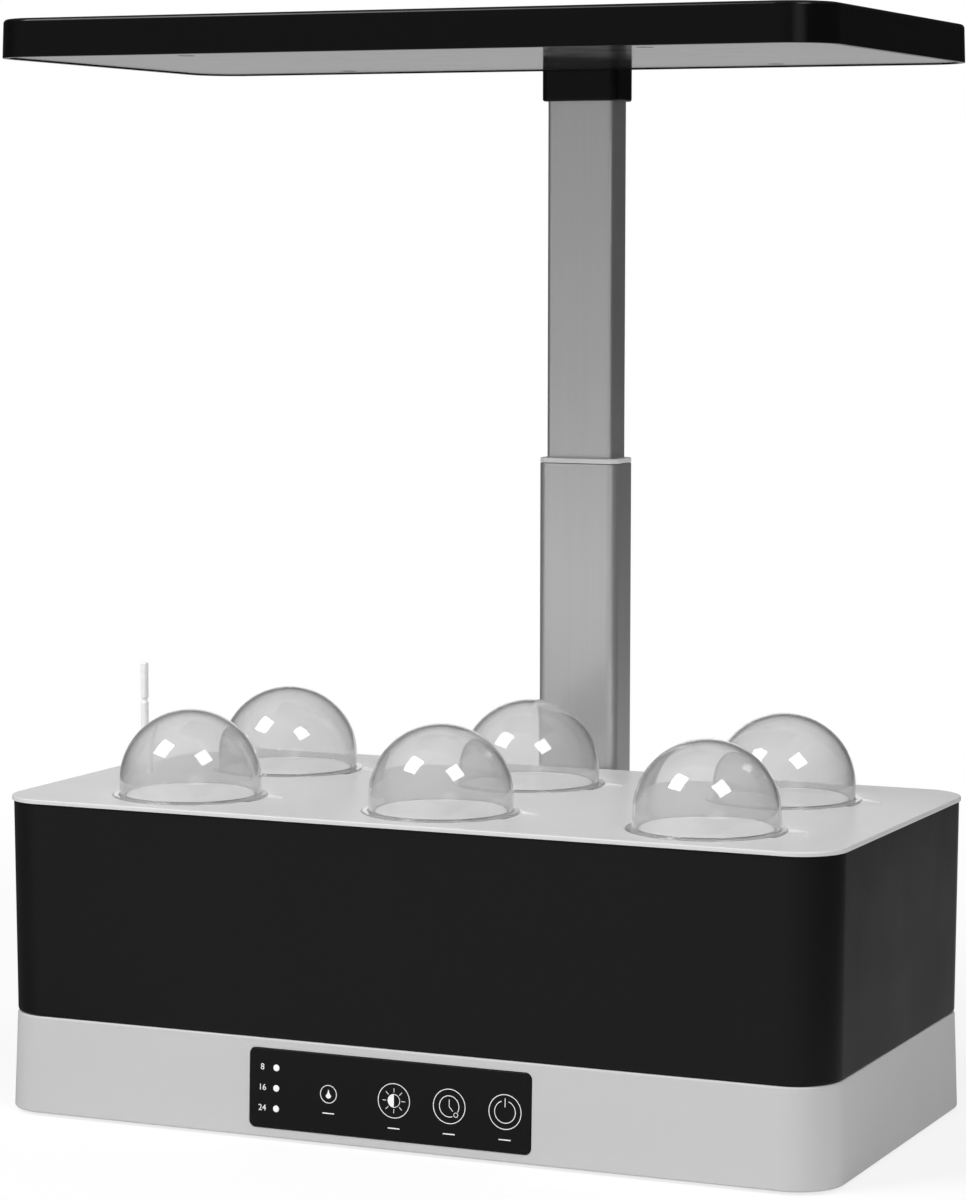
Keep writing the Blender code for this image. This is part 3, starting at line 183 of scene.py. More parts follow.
def turned(name, outline, steps=64):
    """Turn an outline of (radius, height) points about Z, ring by ring. Radius zero is a pole."""
    points = list(outline)
    pole = points.pop(0) if points[0][0] == 0 else None
    radius, height = points.pop(0)
    clear_selection()
    bpy.ops.mesh.primitive_circle_add(vertices=steps, radius=radius,
                                      fill_type="TRIFAN" if pole else "NOTHING")
    obj = name_new(name)
    bpy.ops.transform.translate(value=(0, 0, height))
    if pole:
        pick("VERT", lambda v: v.co.xy.length < radius / 2)
        bpy.ops.transform.translate(value=(0, 0, pole[1] - height))
        pick("EDGE", lambda e: all(v.co.xy.length > radius / 2 for v in e.verts))
    for next_radius, next_height in points:
        step = (0, 0, next_height - height)
        bpy.ops.mesh.extrude_edges_move(TRANSFORM_OT_translate={"value": step})
        if next_radius == 0:
            bpy.ops.mesh.merge(type="CENTER")
            break
        ratio = next_radius / radius
        bpy.ops.transform.resize(value=(ratio, ratio, 1), center_override=(0, 0, next_height))
        radius, height = next_radius, next_height
    bpy.ops.mesh.select_all(action="SELECT")
    bpy.ops.mesh.remove_doubles(threshold=TOUCH)
    bpy.ops.mesh.normals_make_consistent(inside=False)
    leave()
    return obj


def round_tool(radius, reach, steps):
    """A round cutter that reaches as far above height zero as below it."""
    return turned("tool", [(0, -reach), (radius, -reach), (radius, reach), (0, reach)], steps)


def arc(radius, middle_radius, middle_height, start, end, steps):
    """Points on a round of an outline, from one angle above the level to another, in degrees."""
    points = []
    for number in range(steps + 1):
        angle = radians(start + (end - start) * number / steps)
        points.append((middle_radius + radius * cos(angle), middle_height + radius * sin(angle)))
    return points


def apply_modifier(obj, modifier):
    take(obj)
    bpy.ops.object.modifier_apply(modifier=modifier.name)


def carve(obj, tool, operation="DIFFERENCE"):
    """Cut a shape out of a piece, or join it on, and drop the tool."""
    modifier = obj.modifiers.new("carve", "BOOLEAN")
    modifier.object = tool
    modifier.operation = operation
    modifier.solver = "EXACT"
    apply_modifier(obj, modifier)
    bpy.data.objects.remove(tool)


def place(obj, matrix):
    """Move a piece and keep the move in its mesh."""
    take(obj)
    obj.matrix_world = matrix
    bpy.ops.object.transform_apply(location=True, rotation=True, scale=True)
    return obj


def move(obj, x=0, y=0, z=0):
    return place(obj, Matrix.Translation((x, y, z)))


def copy_of(obj, name, matrix=Matrix.Identity(4)):
    """A copy with its own mesh, moved in the mesh."""
    made = obj.copy()
    made.data = obj.data.copy()
    made.name = name
    made.data.name = name
    bpy.context.scene.collection.objects.link(made)
    return place(made, matrix)


def joined(name, parts):
    clear_selection()
    for part in parts:
        part.select_set(True)
    bpy.context.view_layer.objects.active = parts[0]
    bpy.ops.object.join()
    obj = bpy.context.object
    obj.name = name
    obj.data.name = name
    return obj


def smooth(obj, angle=35):
    """Smooth round faces and keep the flat ones flat."""
    take(obj)
    bpy.ops.object.shade_smooth_by_angle(angle=radians(angle))
    weighted = obj.modifiers.new("even_faces", "WEIGHTED_NORMAL")
    weighted.keep_sharp = True
    apply_modifier(obj, weighted)


def settle(obj, finish, body, *stands_for, slot=None, angle=35):
    """Give a piece its finish and its body, and let it stand for its solids."""
    smooth(obj, angle)
    obj.data.materials.clear()
    obj.data.materials.append(finish)
    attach(obj, body)
    if stands_for:
        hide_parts(*stands_for)
    return obj


# Shader groups


def new_group(name, inputs, outputs):
    group = bpy.data.node_groups.new(name, "ShaderNodeTree")
    for label, kind, value in inputs:
        socket = group.interface.new_socket(label, in_out="INPUT", socket_type=kind)
        if value is not None:
            socket.default_value = value
    for label, kind in outputs:
        group.interface.new_socket(label, in_out="OUTPUT", socket_type=kind)
    tree = Tree(group)
    return group, tree, tree.add("NodeGroupInput"), tree.add("NodeGroupOutput")


class Tree:
    """Short calls to add nodes and link them."""

    def __init__(self, tree):
        self.tree = tree

    def add(self, kind, **values):
        node = self.tree.nodes.new(kind)
        for key, value in values.items():
            setattr(node, key, value)
        return node

    def link(self, source, target):
        self.tree.links.new(source, target)

    def feed(self, node, **sources):
        """Link a socket or set a value on each named input; underscores stand for spaces."""
        for key, source in sources.items():
            target = node.inputs[key.replace("_", " ")]
            if isinstance(source, bpy.types.NodeSocket):
                self.link(source, target)
            else:
                target.default_value = source
        return node

    def noise(self, where, scale, detail=3.0, rough=0.5):
        node = self.add("ShaderNodeTexNoise")
        self.feed(node, Vector=where, Scale=scale, Detail=detail, Roughness=rough)
        return node.outputs["Fac"]

    def sum(self, first, second, operation="ADD", clamp=False):
        node = self.add("ShaderNodeMath", operation=operation, use_clamp=clamp)
        for socket, source in zip(node.inputs, (first, second)):
            if isinstance(source, bpy.types.NodeSocket):
                self.link(source, socket)
            else:
                socket.default_value = source
        return node.outputs[0]

    def times(self, first, second):
        return self.sum(first, second, "MULTIPLY")

    def spread(self, source, low, high, new_low, new_high):
        node = self.add("ShaderNodeMapRange")
        self.feed(node, Value=source, From_Min=low, From_Max=high, To_Min=new_low, To_Max=new_high)
        return node.outputs["Result"]

    def mix(self, share, first, second, blend="MIX"):
        node = self.add("ShaderNodeMix", data_type="RGBA", blend_type=blend)
        for socket, source in zip((node.inputs[0], node.inputs[6], node.inputs[7]),
                                  (share, first, second)):
            if isinstance(source, bpy.types.NodeSocket):
                self.link(source, socket)
            else:
                socket.default_value = source
        return node.outputs[2]

    def stretched(self, where, scale):
        node = self.add("ShaderNodeMapping")
        self.feed(node, Vector=where, Scale=scale)
        return node.outputs["Vector"]


FLOAT, COLOUR, VECTOR = "NodeSocketFloat", "NodeSocketColor", "NodeSocketVector"


def grain_group():
    """Fine moulded grain, with a slow waviness under it."""
    group, t, source, out = new_group(
        "moulded_grain", [("Place", VECTOR, None), ("Fineness", FLOAT, 900.0), ("Depth", FLOAT, 1.0)],
        [("Height", FLOAT)])
    fine = t.noise(source.outputs["Place"], source.outputs["Fineness"], 2.0)
    slow = t.noise(source.outputs["Place"], 24.0, 1.0)
    both = t.sum(fine, t.times(slow, 0.5))
    t.link(t.times(both, source.outputs["Depth"]), out.inputs["Height"])
    return group


def handled_group():
    """Roughness that drifts where a surface has been wiped and touched."""
    group, t, source, out = new_group(
        "handled_surface", [("Place", VECTOR, None), ("Low", FLOAT, 0.3), ("High", FLOAT, 0.4)],
        [("Roughness", FLOAT), ("Mask", FLOAT)])
    cloud = t.noise(source.outputs["Place"], 14.0, 4.0, 0.6)
    streak = t.noise(t.stretched(source.outputs["Place"], (60.0, 60.0, 9.0)), 1.0, 2.0)
    mask = t.spread(t.sum(t.times(cloud, 0.7), t.times(streak, 0.3)),
                    0.35, 0.65, 0.0, 1.0)
    span = t.sum(source.outputs["High"], source.outputs["Low"], "SUBTRACT")
    t.link(t.sum(t.times(mask, span), source.outputs["Low"]), out.inputs["Roughness"])
    t.link(mask, out.inputs["Mask"])
    return group


def dust_group():
    """A thin film of dust on faces that look up, broken into specks and patches."""
    group, t, source, out = new_group(
        "settled_dust", [("Place", VECTOR, None), ("Amount", FLOAT, 0.1)], [("Mask", FLOAT)])
    geometry = t.add("ShaderNodeNewGeometry")
    split = t.add("ShaderNodeSeparateXYZ")
    t.link(geometry.outputs["Normal"], split.inputs[0])
    up = t.spread(split.outputs["Z"], 0.5, 1.0, 0.0, 1.0)
    patch = t.spread(t.noise(source.outputs["Place"], 40.0, 5.0, 0.65), 0.42, 0.75, 0.0, 1.0)
    speck = t.spread(t.noise(source.outputs["Place"], 1500.0, 1.0), 0.62, 0.72, 0.0, 1.0)
    both = t.sum(t.times(patch, 0.5), t.times(speck, 0.5))
    mask = t.sum(t.times(both, up), source.outputs["Amount"], "MULTIPLY", clamp=True)
    t.link(mask, out.inputs["Mask"])
    return group


def brushed_group():
    """Fine drawn lines along the height of a metal tube."""
    group, t, source, out = new_group(
        "brushed_lines", [("Place", VECTOR, None), ("Fineness", FLOAT, 1.0)],
        [("Lines", FLOAT), ("Height", FLOAT)])
    scaled = t.add("ShaderNodeVectorMath", operation="SCALE")
    t.link(source.outputs["Place"], scaled.inputs[0])
    t.link(source.outputs["Fineness"], scaled.inputs["Scale"])
    fine = t.noise(t.stretched(scaled.outputs[0], (4200.0, 4200.0, 16.0)), 1.0, 2.0)
    coarse = t.noise(t.stretched(scaled.outputs[0], (700.0, 700.0, 5.0)), 1.0, 3.0)
    lines = t.sum(t.times(fine, 0.6), t.times(coarse, 0.4))
    t.link(t.spread(lines, 0.3, 0.7, 0.0, 1.0), out.inputs["Lines"])
    t.link(lines, out.inputs["Height"])
    return group


GRAIN = grain_group()
HANDLED = handled_group()
DUST = dust_group()
BRUSHED = brushed_group()


# Finishes


def grey(level):
    return (level, level, level)


def start_finish(name, roughness, **plain):
    """A new material with its object coordinates; plain values sit on the shader's own sockets."""
    made = bpy.data.materials.new(name)
    made.use_nodes = True
    t = Tree(made.node_tree)
    shader = made.node_tree.nodes["Principled BSDF"]
    t.feed(shader, Roughness=roughness, **plain)
    where = t.add("ShaderNodeTexCoord").outputs["Object"]
    return made, t, shader, where


def use(t, group, where, **values):
    node = t.add("ShaderNodeGroup", node_tree=group)
    t.feed(node, Place=where, **values)
    return node.outputs


def bump(t, shader, height, distance, strength=1.0):
    node = t.add("ShaderNodeBump")
    t.feed(node, Height=height, Distance=distance, Strength=strength)
    t.link(node.outputs["Normal"], shader.inputs["Normal"])


def moulded(name, colour, low, high, fineness=900.0, depth=0.01 * MM, dust=0.0, drift=0.03, **plain):
    """Moulded plastic: drifting shade, fine grain, wiped roughness and a little dust on top."""
    made, t, shader, where = start_finish(name, (low + high) / 2, **plain)
    cloud = t.spread(t.noise(where, 9.0, 3.0), 0.3, 0.7, 1 - drift, 1 + drift)
    shade = t.add("ShaderNodeVectorMath", operation="SCALE")
    shade.inputs[0].default_value = colour
    t.link(cloud, shade.inputs["Scale"])
    base = shade.outputs[0]
    touched = use(t, HANDLED, where, Low=low, High=high)
    rough = touched["Roughness"]
    if dust:
        film = use(t, DUST, where, Amount=dust)["Mask"]
        base = t.mix(film, base, (0.46, 0.45, 0.43, 1))
        rough = t.sum(rough, t.times(film, 0.4), clamp=True)
    t.link(base, shader.inputs["Base Color"])
    t.link(rough, shader.inputs["Roughness"])
    grain = use(t, GRAIN, where, Fineness=fineness, Depth=1.0)["Height"]
    bump(t, shader, grain, depth)
    return made


def clear_plastic(name, colour, roughness):
    """Clear moulded plastic with faint wiping marks."""
    made, t, shader, where = start_finish(name, roughness, IOR=1.49, Transmission_Weight=0.88)
    marks = use(t, HANDLED, where, Low=roughness, High=roughness + 0.008)
    t.link(marks["Roughness"], shader.inputs["Roughness"])
    faint = t.mix(t.spread(t.noise(where, 30.0, 2.0), 0.4, 0.6, 0.0, 0.25), (*colour, 1),
                  tuple(c * 0.96 for c in colour) + (1,))
    t.link(faint, shader.inputs["Base Color"])
    through = t.add("ShaderNodeBsdfTransparent")
    through.inputs["Color"].default_value = (0.90, 0.90, 0.90, 1)
    path = t.add("ShaderNodeLightPath")
    either = t.add("ShaderNodeMixShader")
    surface = made.node_tree.nodes["Material Output"].inputs["Surface"]
    t.link(path.outputs["Is Shadow Ray"], either.inputs[0])
    t.link(shader.outputs[0], either.inputs[1])
    t.link(through.outputs[0], either.inputs[2])
    t.link(either.outputs[0], surface)
    return made


def brushed_tube(name, colour, low, high):
    """Anodised tube with drawn lines along its length."""
    made, t, shader, where = start_finish(name, low, Metallic=0.8)
    lines = use(t, BRUSHED, where, Fineness=1.0)
    shade = t.mix(lines["Lines"], tuple(c * 0.95 for c in colour) + (1,), tuple(colour) + (1,))
    t.link(shade, shader.inputs["Base Color"])
    rough = t.spread(lines["Lines"], 0.0, 1.0, high, low)
    t.link(rough, shader.inputs["Roughness"])
    bump(t, shader, lines["Height"], 0.003 * MM)
    return made


def plated_steel(name):
    """Bright plated screw steel with fine turning scratches."""
    made, t, shader, where = start_finish(name, 0.25, Metallic=1.0)
    scratch = t.noise(where, 3500.0, 2.0)
    t.link(t.mix(scratch, (0.42, 0.42, 0.43, 1), (0.66, 0.66, 0.67, 1)), shader.inputs["Base Color"])
    t.link(t.spread(scratch, 0.3, 0.7, 0.22, 0.4), shader.inputs["Roughness"])
    bump(t, shader, scratch, 0.01 * MM)
    return made


def open_foam(name, dark, light, pore_scale, depth):
    """Cellular foam: pores as dark pits between paler walls, the darkness of the pits being painted shade.
    """
    made, t, shader, where = start_finish(name, 0.9, Sheen_Weight=0.1)
    cells = t.add("ShaderNodeTexVoronoi", feature="DISTANCE_TO_EDGE")
    t.feed(cells, Vector=where, Scale=pore_scale)
    wall = t.spread(cells.outputs["Distance"], 0.02, 0.28, 1.0, 0.0)
    mottled = t.noise(where, pore_scale / 6, 3.0)
    # Pore middles take the dark colour and the cell walls the light one: painted shade in the pits.
    tone = t.mix(wall, (*dark, 1), (*light, 1))
    t.link(t.mix(t.spread(mottled, 0.3, 0.7, 0.0, 0.35), tone, (*dark, 1)), shader.inputs["Base Color"])
    bump(t, shader, wall, depth)
    return made


def circuit(name, mask, trace, scale):
    """A circuit board: solder mask with traces in straight runs and small pads."""
    made, t, shader, where = start_finish(name, 0.35, IOR=1.5)
    bricks = t.add("ShaderNodeTexBrick")
    t.feed(bricks, Vector=t.stretched(where, (scale, scale * 1.6, scale)), Scale=1.0, Mortar_Size=0.06)
    bricks.inputs["Color1"].default_value = (0, 0, 0, 1)
    bricks.inputs["Color2"].default_value = (0, 0, 0, 1)
    bricks.inputs["Mortar"].default_value = (1, 1, 1, 1)
    dots = t.add("ShaderNodeTexVoronoi", feature="F1", distance="CHEBYCHEV")
    t.feed(dots, Vector=where, Scale=scale * 2.2, Randomness=0.6)
    pads = t.spread(dots.outputs["Distance"], 0.16, 0.18, 1.0, 0.0)
    copper = t.mix(bricks.outputs["Fac"], (*mask, 1), (*trace, 1))
    t.link(t.mix(pads, copper, (0.55, 0.52, 0.45, 1)), shader.inputs["Base Color"])
    rough = t.spread(pads, 0.0, 1.0, 0.38, 0.25)
    t.link(rough, shader.inputs["Roughness"])
    bump(t, shader, t.sum(bricks.outputs["Fac"], pads), 0.02 * MM)
    return made


def rubber(name):
    made, t, shader, where = start_finish(name, 0.8)
    bloom = t.noise(where, 120.0, 4.0)
    t.link(t.mix(bloom, (0.018, 0.018, 0.018, 1), (0.05, 0.05, 0.049, 1)), shader.inputs["Base Color"])
    t.link(t.spread(bloom, 0.3, 0.7, 0.7, 0.9), shader.inputs["Roughness"])
    bump(t, shader, t.noise(where, 2600.0, 2.0), 0.03 * MM)
    return made


base_light = moulded("satin_light_base", grey(0.49), 0.40, 0.50, 1400.0, 0.010 * MM, drift=0.015,
                     Specular_IOR_Level=0.35)
deck_light = moulded("smooth_light_deck", grey(0.58), 0.30, 0.38, 700.0, 0.004 * MM, drift=0.012,
                     Specular_IOR_Level=0.25)
disc_light = moulded("smooth_light_disc", grey(0.58), 0.28, 0.36, 700.0, 0.004 * MM, drift=0.012,
                     Specular_IOR_Level=0.30)
tank_black = moulded("satin_black_tank", grey(0.0060), 0.34, 0.42, 1500.0, 0.010 * MM,
                     Specular_IOR_Level=0.10)
lamp_black = moulded("gloss_black_lamp", grey(0.003), 0.16, 0.22, 400.0, 0.002 * MM, dust=0.03,
                     Specular_IOR_Level=0.12)
bracket_black = moulded("satin_black_bracket", grey(0.0035), 0.34, 0.42, 1500.0, 0.010 * MM,
                        Specular_IOR_Level=0.15)
fascia_black = moulded("gloss_black_fascia", grey(0.0055), 0.10, 0.16, 400.0, 0.001 * MM,
                       Specular_IOR_Level=0.08)
inner_black = moulded("matt_black_plastic", grey(0.016), 0.46, 0.60, 1800.0, 0.015 * MM)
white_plastic = moulded("white_plastic", grey(0.80), 0.34, 0.44, 1200.0, 0.006 * MM)
filter_grey = moulded("grey_filter", (0.34, 0.34, 0.35), 0.45, 0.55, 1400.0, 0.010 * MM)
mark_white = moulded("printed_white", grey(0.83), 0.45, 0.55, 3000.0, 0.001 * MM)
light_lens = moulded("light_lens", grey(0.88), 0.20, 0.28, 1500.0, 0.001 * MM)
dome_clear = clear_plastic("clear_dome_plastic", grey(0.78), 0.0)
plate_grey = moulded("glossy_lamp_plate", grey(0.30), 0.07, 0.13, 160.0, 0.004 * MM, drift=0.04,
                     Metallic=0.92)
mast_metal = brushed_tube("anodised_mast", (0.60, 0.60, 0.605), 0.34, 0.42)
screw_steel = plated_steel("plated_screw")
float_foam = open_foam("white_float_foam", (0.62, 0.62, 0.61), (0.80, 0.80, 0.79), 420.0, 0.05 * MM)
sponge_foam = open_foam("brown_grow_foam", (0.035, 0.022, 0.012), (0.16, 0.10, 0.055), 620.0, 0.35 * MM)
key_board = circuit("green_key_board", (0.010, 0.075, 0.028), (0.02, 0.13, 0.05), 180.0)
light_board = circuit("white_light_board", (0.70, 0.70, 0.69), (0.80, 0.80, 0.79), 90.0)
foot_rubber = rubber("foot_rubber")


# Places that the solids give

deck_low, deck_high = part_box("deck")
tank_low, tank_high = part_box("tank")
base_low, base_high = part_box("base_housing")
lamp_low, lamp_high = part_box("lamp_housing")
panel_low, panel_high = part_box("lamp_panel")
FRONT = deck_low.y
BACK = deck_high.y
DECK_TOP = deck_high.z
CORNER = 19.0 * MM
WIDTH_SIDE = deck_high.x


def pod_middle(number):
    low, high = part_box(f"dome_{number}")
    return (low.x + high.x) / 2, (low.y + high.y) / 2


# Base

BASE_TOP = 40.0 * MM
BASE_RIM = base_low.z
BASE_WALL = 2.5 * MM
BASE_INSET = 1.2 * MM
FASCIA_SIZE = (118.6 * MM, 30.8 * MM, 1.6 * MM)
FASCIA_PLACE = (-2.2 * MM, 20.6 * MM)
FASCIA_PROUD = 0.4 * MM
FASCIA_CORNER = 2.4 * MM


def front_frame():
    """The base's front face at the fascia: X to the right, Y up the face and Z out of it."""
    lean = atan2(BASE_INSET, BASE_TOP - BASE_RIM)
    x, z = FASCIA_PLACE
    y = FRONT + BASE_INSET * (z - BASE_RIM) / (BASE_TOP - BASE_RIM)
    return Matrix.Translation((x, y, z)) @ Matrix.Rotation(pi / 2 - lean, 4, "X")


def base_shell():
    obj = case("base_shell", (-WIDTH_SIDE, FRONT, BASE_RIM), (WIDTH_SIDE, BACK, BASE_TOP), CORNER,
               top_inset=BASE_INSET, top_edge=0.9 * MM, foot_edge=0.9 * MM, steps=20)
    sink(obj, BASE_RIM, BASE_WALL, BASE_TOP - BASE_WALL - BASE_RIM)

    mast_low, mast_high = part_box("mast_outer_tube")
    wall = 2.8 * MM
    tower = case("tower", (mast_low.x - wall, mast_low.y - wall, BASE_RIM),
                 (mast_high.x + wall, mast_high.y + wall, base_high.z), 7.0 * MM, top_edge=1.2 * MM)
    root = case("root", (-18.0 * MM, BACK - 6.0 * MM, 6.0 * MM),
                (18.0 * MM, BACK + 2.0 * MM, BASE_TOP - 1.8 * MM))
    carve(obj, root, "UNION")
    carve(obj, tower, "UNION")
    gap = 0.3 * MM
    socket = case("socket", (mast_low.x - gap, mast_low.y - gap, 6.0 * MM),
                  (mast_high.x + gap, mast_high.y + gap, base_high.z + 5 * MM), 4.8 * MM)
    carve(obj, socket)

    width, height, thick = FASCIA_SIZE
    pocket = case("pocket", (-width / 2 - gap, -height / 2 - gap, FASCIA_PROUD - thick - gap),
                  (width / 2 + gap, height / 2 + gap, 5 * MM), FASCIA_CORNER + gap, steps=8)
    carve(obj, place(pocket, front_frame()))
    half_x, half_z = 56 * MM, 10.5 * MM
    window = case("window", (-half_x, -half_z, -9 * MM), (half_x, half_z, 1 * MM), 4 * MM, steps=6)
    carve(obj, place(window, front_frame()))

    inlet_low, inlet_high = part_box("dc_inlet")
    hole = round_tool(5.8 * MM, 6 * MM, 48)
    middle = ((inlet_low.x + inlet_high.x) / 2, BACK - 2 * MM, (inlet_low.z + inlet_high.z) / 2)
    carve(obj, place(hole, Matrix.Translation(middle) @ Matrix.Rotation(-pi / 2, 4, "X")))
    settle(obj, base_light, "root", "base_housing", slot="light_plastic")


def fascia():
    width, height, thick = FASCIA_SIZE
    plate = case("key_fascia", (-width / 2, -height / 2, FASCIA_PROUD - thick),
                 (width / 2, height / 2, FASCIA_PROUD), FASCIA_CORNER, top_edge=0.25 * MM,
                 foot_edge=0.15 * MM, steps=10, edge_steps=3)
    place(plate, front_frame())
    settle(plate, fascia_black, "root", "control_fascia", slot="fascia_gloss_black")


# Printed marks on the fascia: flat shapes, built level, then stood up on the fascia's face

PRINT_THICK = 0.04 * MM


def flat_ring(radius, width, start=None, end=None, steps=72):
    """A flat ring, or the part of it between two angles in degrees."""
    clear_selection()
    bpy.ops.mesh.primitive_circle_add(vertices=steps, radius=radius, fill_type="NOTHING")
    obj = name_new("mark")
    ratio = 1 - width / radius
    bpy.ops.mesh.extrude_edges_move()
    bpy.ops.transform.resize(value=(ratio, ratio, 1), center_override=(0, 0, 0))
    if start is not None:
        def outside(face):
            middle = face.calc_center_median()
            angle = (atan2(middle.y, middle.x) * 180 / pi - start) % 360
            return angle > end - start
        pick("FACE", outside)
        bpy.ops.mesh.delete(type="FACE")
    leave()
    return obj


def flat_disc(radius, steps=48):
    clear_selection()
    bpy.ops.mesh.primitive_circle_add(vertices=steps, radius=radius, fill_type="NGON")
    obj = name_new("mark")
    bpy.ops.mesh.inset(thickness=radius / 6)
    leave()
    return obj


def flat_bar(length, width, angle, reach):
    """A bar that points away from the middle, starting at a reach from it."""
    clear_selection()
    bpy.ops.mesh.primitive_plane_add(size=1)
    obj = name_new("mark")
    bpy.ops.transform.resize(value=(length, width, 1), center_override=(0, 0, 0))
    pick("VERT", lambda v: True)
    bpy.ops.mesh.bevel(offset=width * 0.3, segments=2, affect="VERTICES")
    bpy.ops.mesh.select_all(action="SELECT")
    bpy.ops.transform.translate(value=(reach + length / 2, 0, 0))
    leave()
    return place(obj, Matrix.Rotation(radians(angle), 4, "Z"))


def flat_drop(radius):
    """A water drop: a disc whose upper part is narrowed and drawn out, level by level."""
    clear_selection()
    bpy.ops.mesh.primitive_circle_add(vertices=48, radius=radius, fill_type="NGON")
    obj = name_new("mark")
    for level in (0.0, 0.4 * radius, 0.9 * radius):
        pick("VERT", lambda v: v.co.y > level)
        bpy.ops.transform.resize(value=(0.72, 1.36, 1), center_override=(0, level, 0))
    bpy.ops.mesh.select_all(action="SELECT")
    bpy.ops.transform.translate(value=(0, -radius * 0.45, 0))
    leave()
    return obj


def number_mark(text, height, x, y):
    """A plain number, made a mesh."""
    clear_selection()
    bpy.ops.object.text_add(radius=height)
    label = bpy.context.object
    label.data.body = text
    label.data.align_x = "CENTER"
    label.data.align_y = "CENTER"
    bpy.ops.object.convert(target="MESH")
    obj = bpy.context.object
    enter(obj)
    bpy.ops.mesh.select_all(action="SELECT")
    bpy.ops.mesh.remove_doubles(threshold=TOUCH)
    leave()
    return move(obj, x, y)


LINE = 0.28 * MM
KEY_RING = 6.75 * MM
DROP_RING = 3.55 * MM
NUMBER_HEIGHT = 3.4 * MM
NUMBER_X = -56.0 * MM
LIGHT_X = -50.0 * MM
LIGHT_ROWS = (28.8 * MM, 20.8 * MM, 12.8 * MM)
KEY_BAR = (5.0 * MM, 0.42 * MM)
KEY_BAR_DROP = 3.9 * MM


def drop_icon():
    return [flat_ring(DROP_RING, LINE), flat_drop(1.15 * MM)]


def sun_icon():
    half = flat_disc(2.45 * MM)
    enter(half)
    bpy.ops.mesh.select_all(action="SELECT")
    bpy.ops.mesh.bisect(plane_co=(0, 0, 0), plane_no=(1, 0, 0), clear_outer=True)
    leave()
    rays = [flat_bar(1.6 * MM, LINE * 0.8, angle, 3.2 * MM) for angle in range(0, 360, 45)]
    return [flat_ring(KEY_RING, LINE), flat_ring(2.6 * MM, LINE * 0.8), half, *rays]


def clock_icon():
    dial = flat_ring(4.2 * MM, LINE, -30, 288)
    small = move(flat_ring(0.95 * MM, LINE * 0.8, steps=32), 2.8 * MM, -3.1 * MM)
    hand = move(flat_bar(2.9 * MM, LINE * 0.9, 90, 0), 0, -0.2 * MM)
    short = move(flat_bar(2.3 * MM, LINE * 0.9, -48, 0), 0, -0.1 * MM)
    return [flat_ring(KEY_RING, LINE), dial, small, hand, short]


def power_icon():
    return [flat_ring(KEY_RING, LINE), flat_ring(4.4 * MM, LINE, 110, 430),
            flat_bar(3.4 * MM, LINE, 90, 1.8 * MM)]


def at(x, parts, y=0):
    return [move(part, x, y) for part in parts]


def fascia_marks():
    """Icons in thin lines, numbers beside the lights and a short bar under each key."""
    fascia_x, fascia_z = FASCIA_PLACE
    marks = []
    keys = ((-27.5 * MM, DROP_RING, drop_icon), (0.3 * MM, KEY_RING, sun_icon),
            (23.5 * MM, KEY_RING, clock_icon), (46.6 * MM, KEY_RING, power_icon))
    for x, ring, icon in keys:
        marks += at(x - fascia_x, icon())
        marks += at(x - fascia_x, [flat_bar(*KEY_BAR, 0, -KEY_BAR[0] / 2)], -ring - KEY_BAR_DROP)
    for text, z in zip(("8", "16", "24"), LIGHT_ROWS):
        marks.append(number_mark(text, NUMBER_HEIGHT, NUMBER_X - fascia_x, z - fascia_z))
    obj = joined("fascia_marks", marks)
    thick = obj.modifiers.new("print", "SOLIDIFY")
    thick.thickness = PRINT_THICK
    thick.offset = 0
    apply_modifier(obj, thick)
    enter(obj)
    bpy.ops.mesh.select_all(action="SELECT")
    bpy.ops.mesh.normals_make_consistent(inside=False)
    bpy.ops.transform.translate(value=(0, 0, FASCIA_PROUD + PRINT_THICK / 4))
    leave()
    place(obj, front_frame())
    settle(obj, mark_white, "root", angle=20)


def fascia_lights():
    """Three small light lenses that stand a hair out of the fascia."""
    fascia_x, fascia_z = FASCIA_PLACE
    lens = turned("lens", [(0, 0.16 * MM), (0.55 * MM, 0.15 * MM), (1.0 * MM, 0.11 * MM),
                           (1.28 * MM, 0.04 * MM), (1.36 * MM, -0.1 * MM), (0, -0.1 * MM)], 40)
    lenses = []
    for z in LIGHT_ROWS:
        spot = Matrix.Translation((LIGHT_X - fascia_x, z - fascia_z, FASCIA_PROUD))
        lenses.append(copy_of(lens, "lens_copy", spot))
    bpy.data.objects.remove(lens)
    obj = joined("fascia_lights", lenses)
    place(obj, front_frame())
    settle(obj, light_lens, "root", angle=60)


def power_inlet():
    low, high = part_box("dc_inlet")
    length = high.y - low.y
    obj = turned("power_inlet", [
        (0, length - 1.0 * MM), (0.7 * MM, length - 1.0 * MM), (1.0 * MM, length - 1.4 * MM),
        (1.0 * MM, length - 9.5 * MM), (3.2 * MM, length - 9.5 * MM), (3.2 * MM, length - 0.5 * MM),
        (3.7 * MM, length), (7.0 * MM, length), (7.5 * MM, length - 0.4 * MM),
        (7.5 * MM, length - 1.2 * MM), (5.5 * MM, length - 1.2 * MM), (5.5 * MM, 0), (0, 0)], 64)
    middle = ((low.x + high.x) / 2, low.y, (low.z + high.z) / 2)
    place(obj, Matrix.Translation(middle) @ Matrix.Rotation(-pi / 2, 4, "X"))
    settle(obj, inner_black, "root", "dc_inlet", slot="black_plastic")


def rubber_feet():
    for name in CORNERS:
        low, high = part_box("foot_" + name)
        radius, top = (high.x - low.x) / 2, high.z
        obj = turned("rubber_foot_" + name, [
            (0, 0.3 * MM), (radius * 0.45, 0.3 * MM), (radius * 0.5, 0), (radius * 0.9, 0),
            (radius * 0.97, 0.15 * MM), (radius, 0.5 * MM), (radius, top - 0.2 * MM),
            (radius - 0.2 * MM, top), (0, top)], 64)
        move(obj, (low.x + high.x) / 2, (low.y + high.y) / 2)
        settle(obj, foot_rubber, "root", "foot_" + name, slot="foot_rubber")


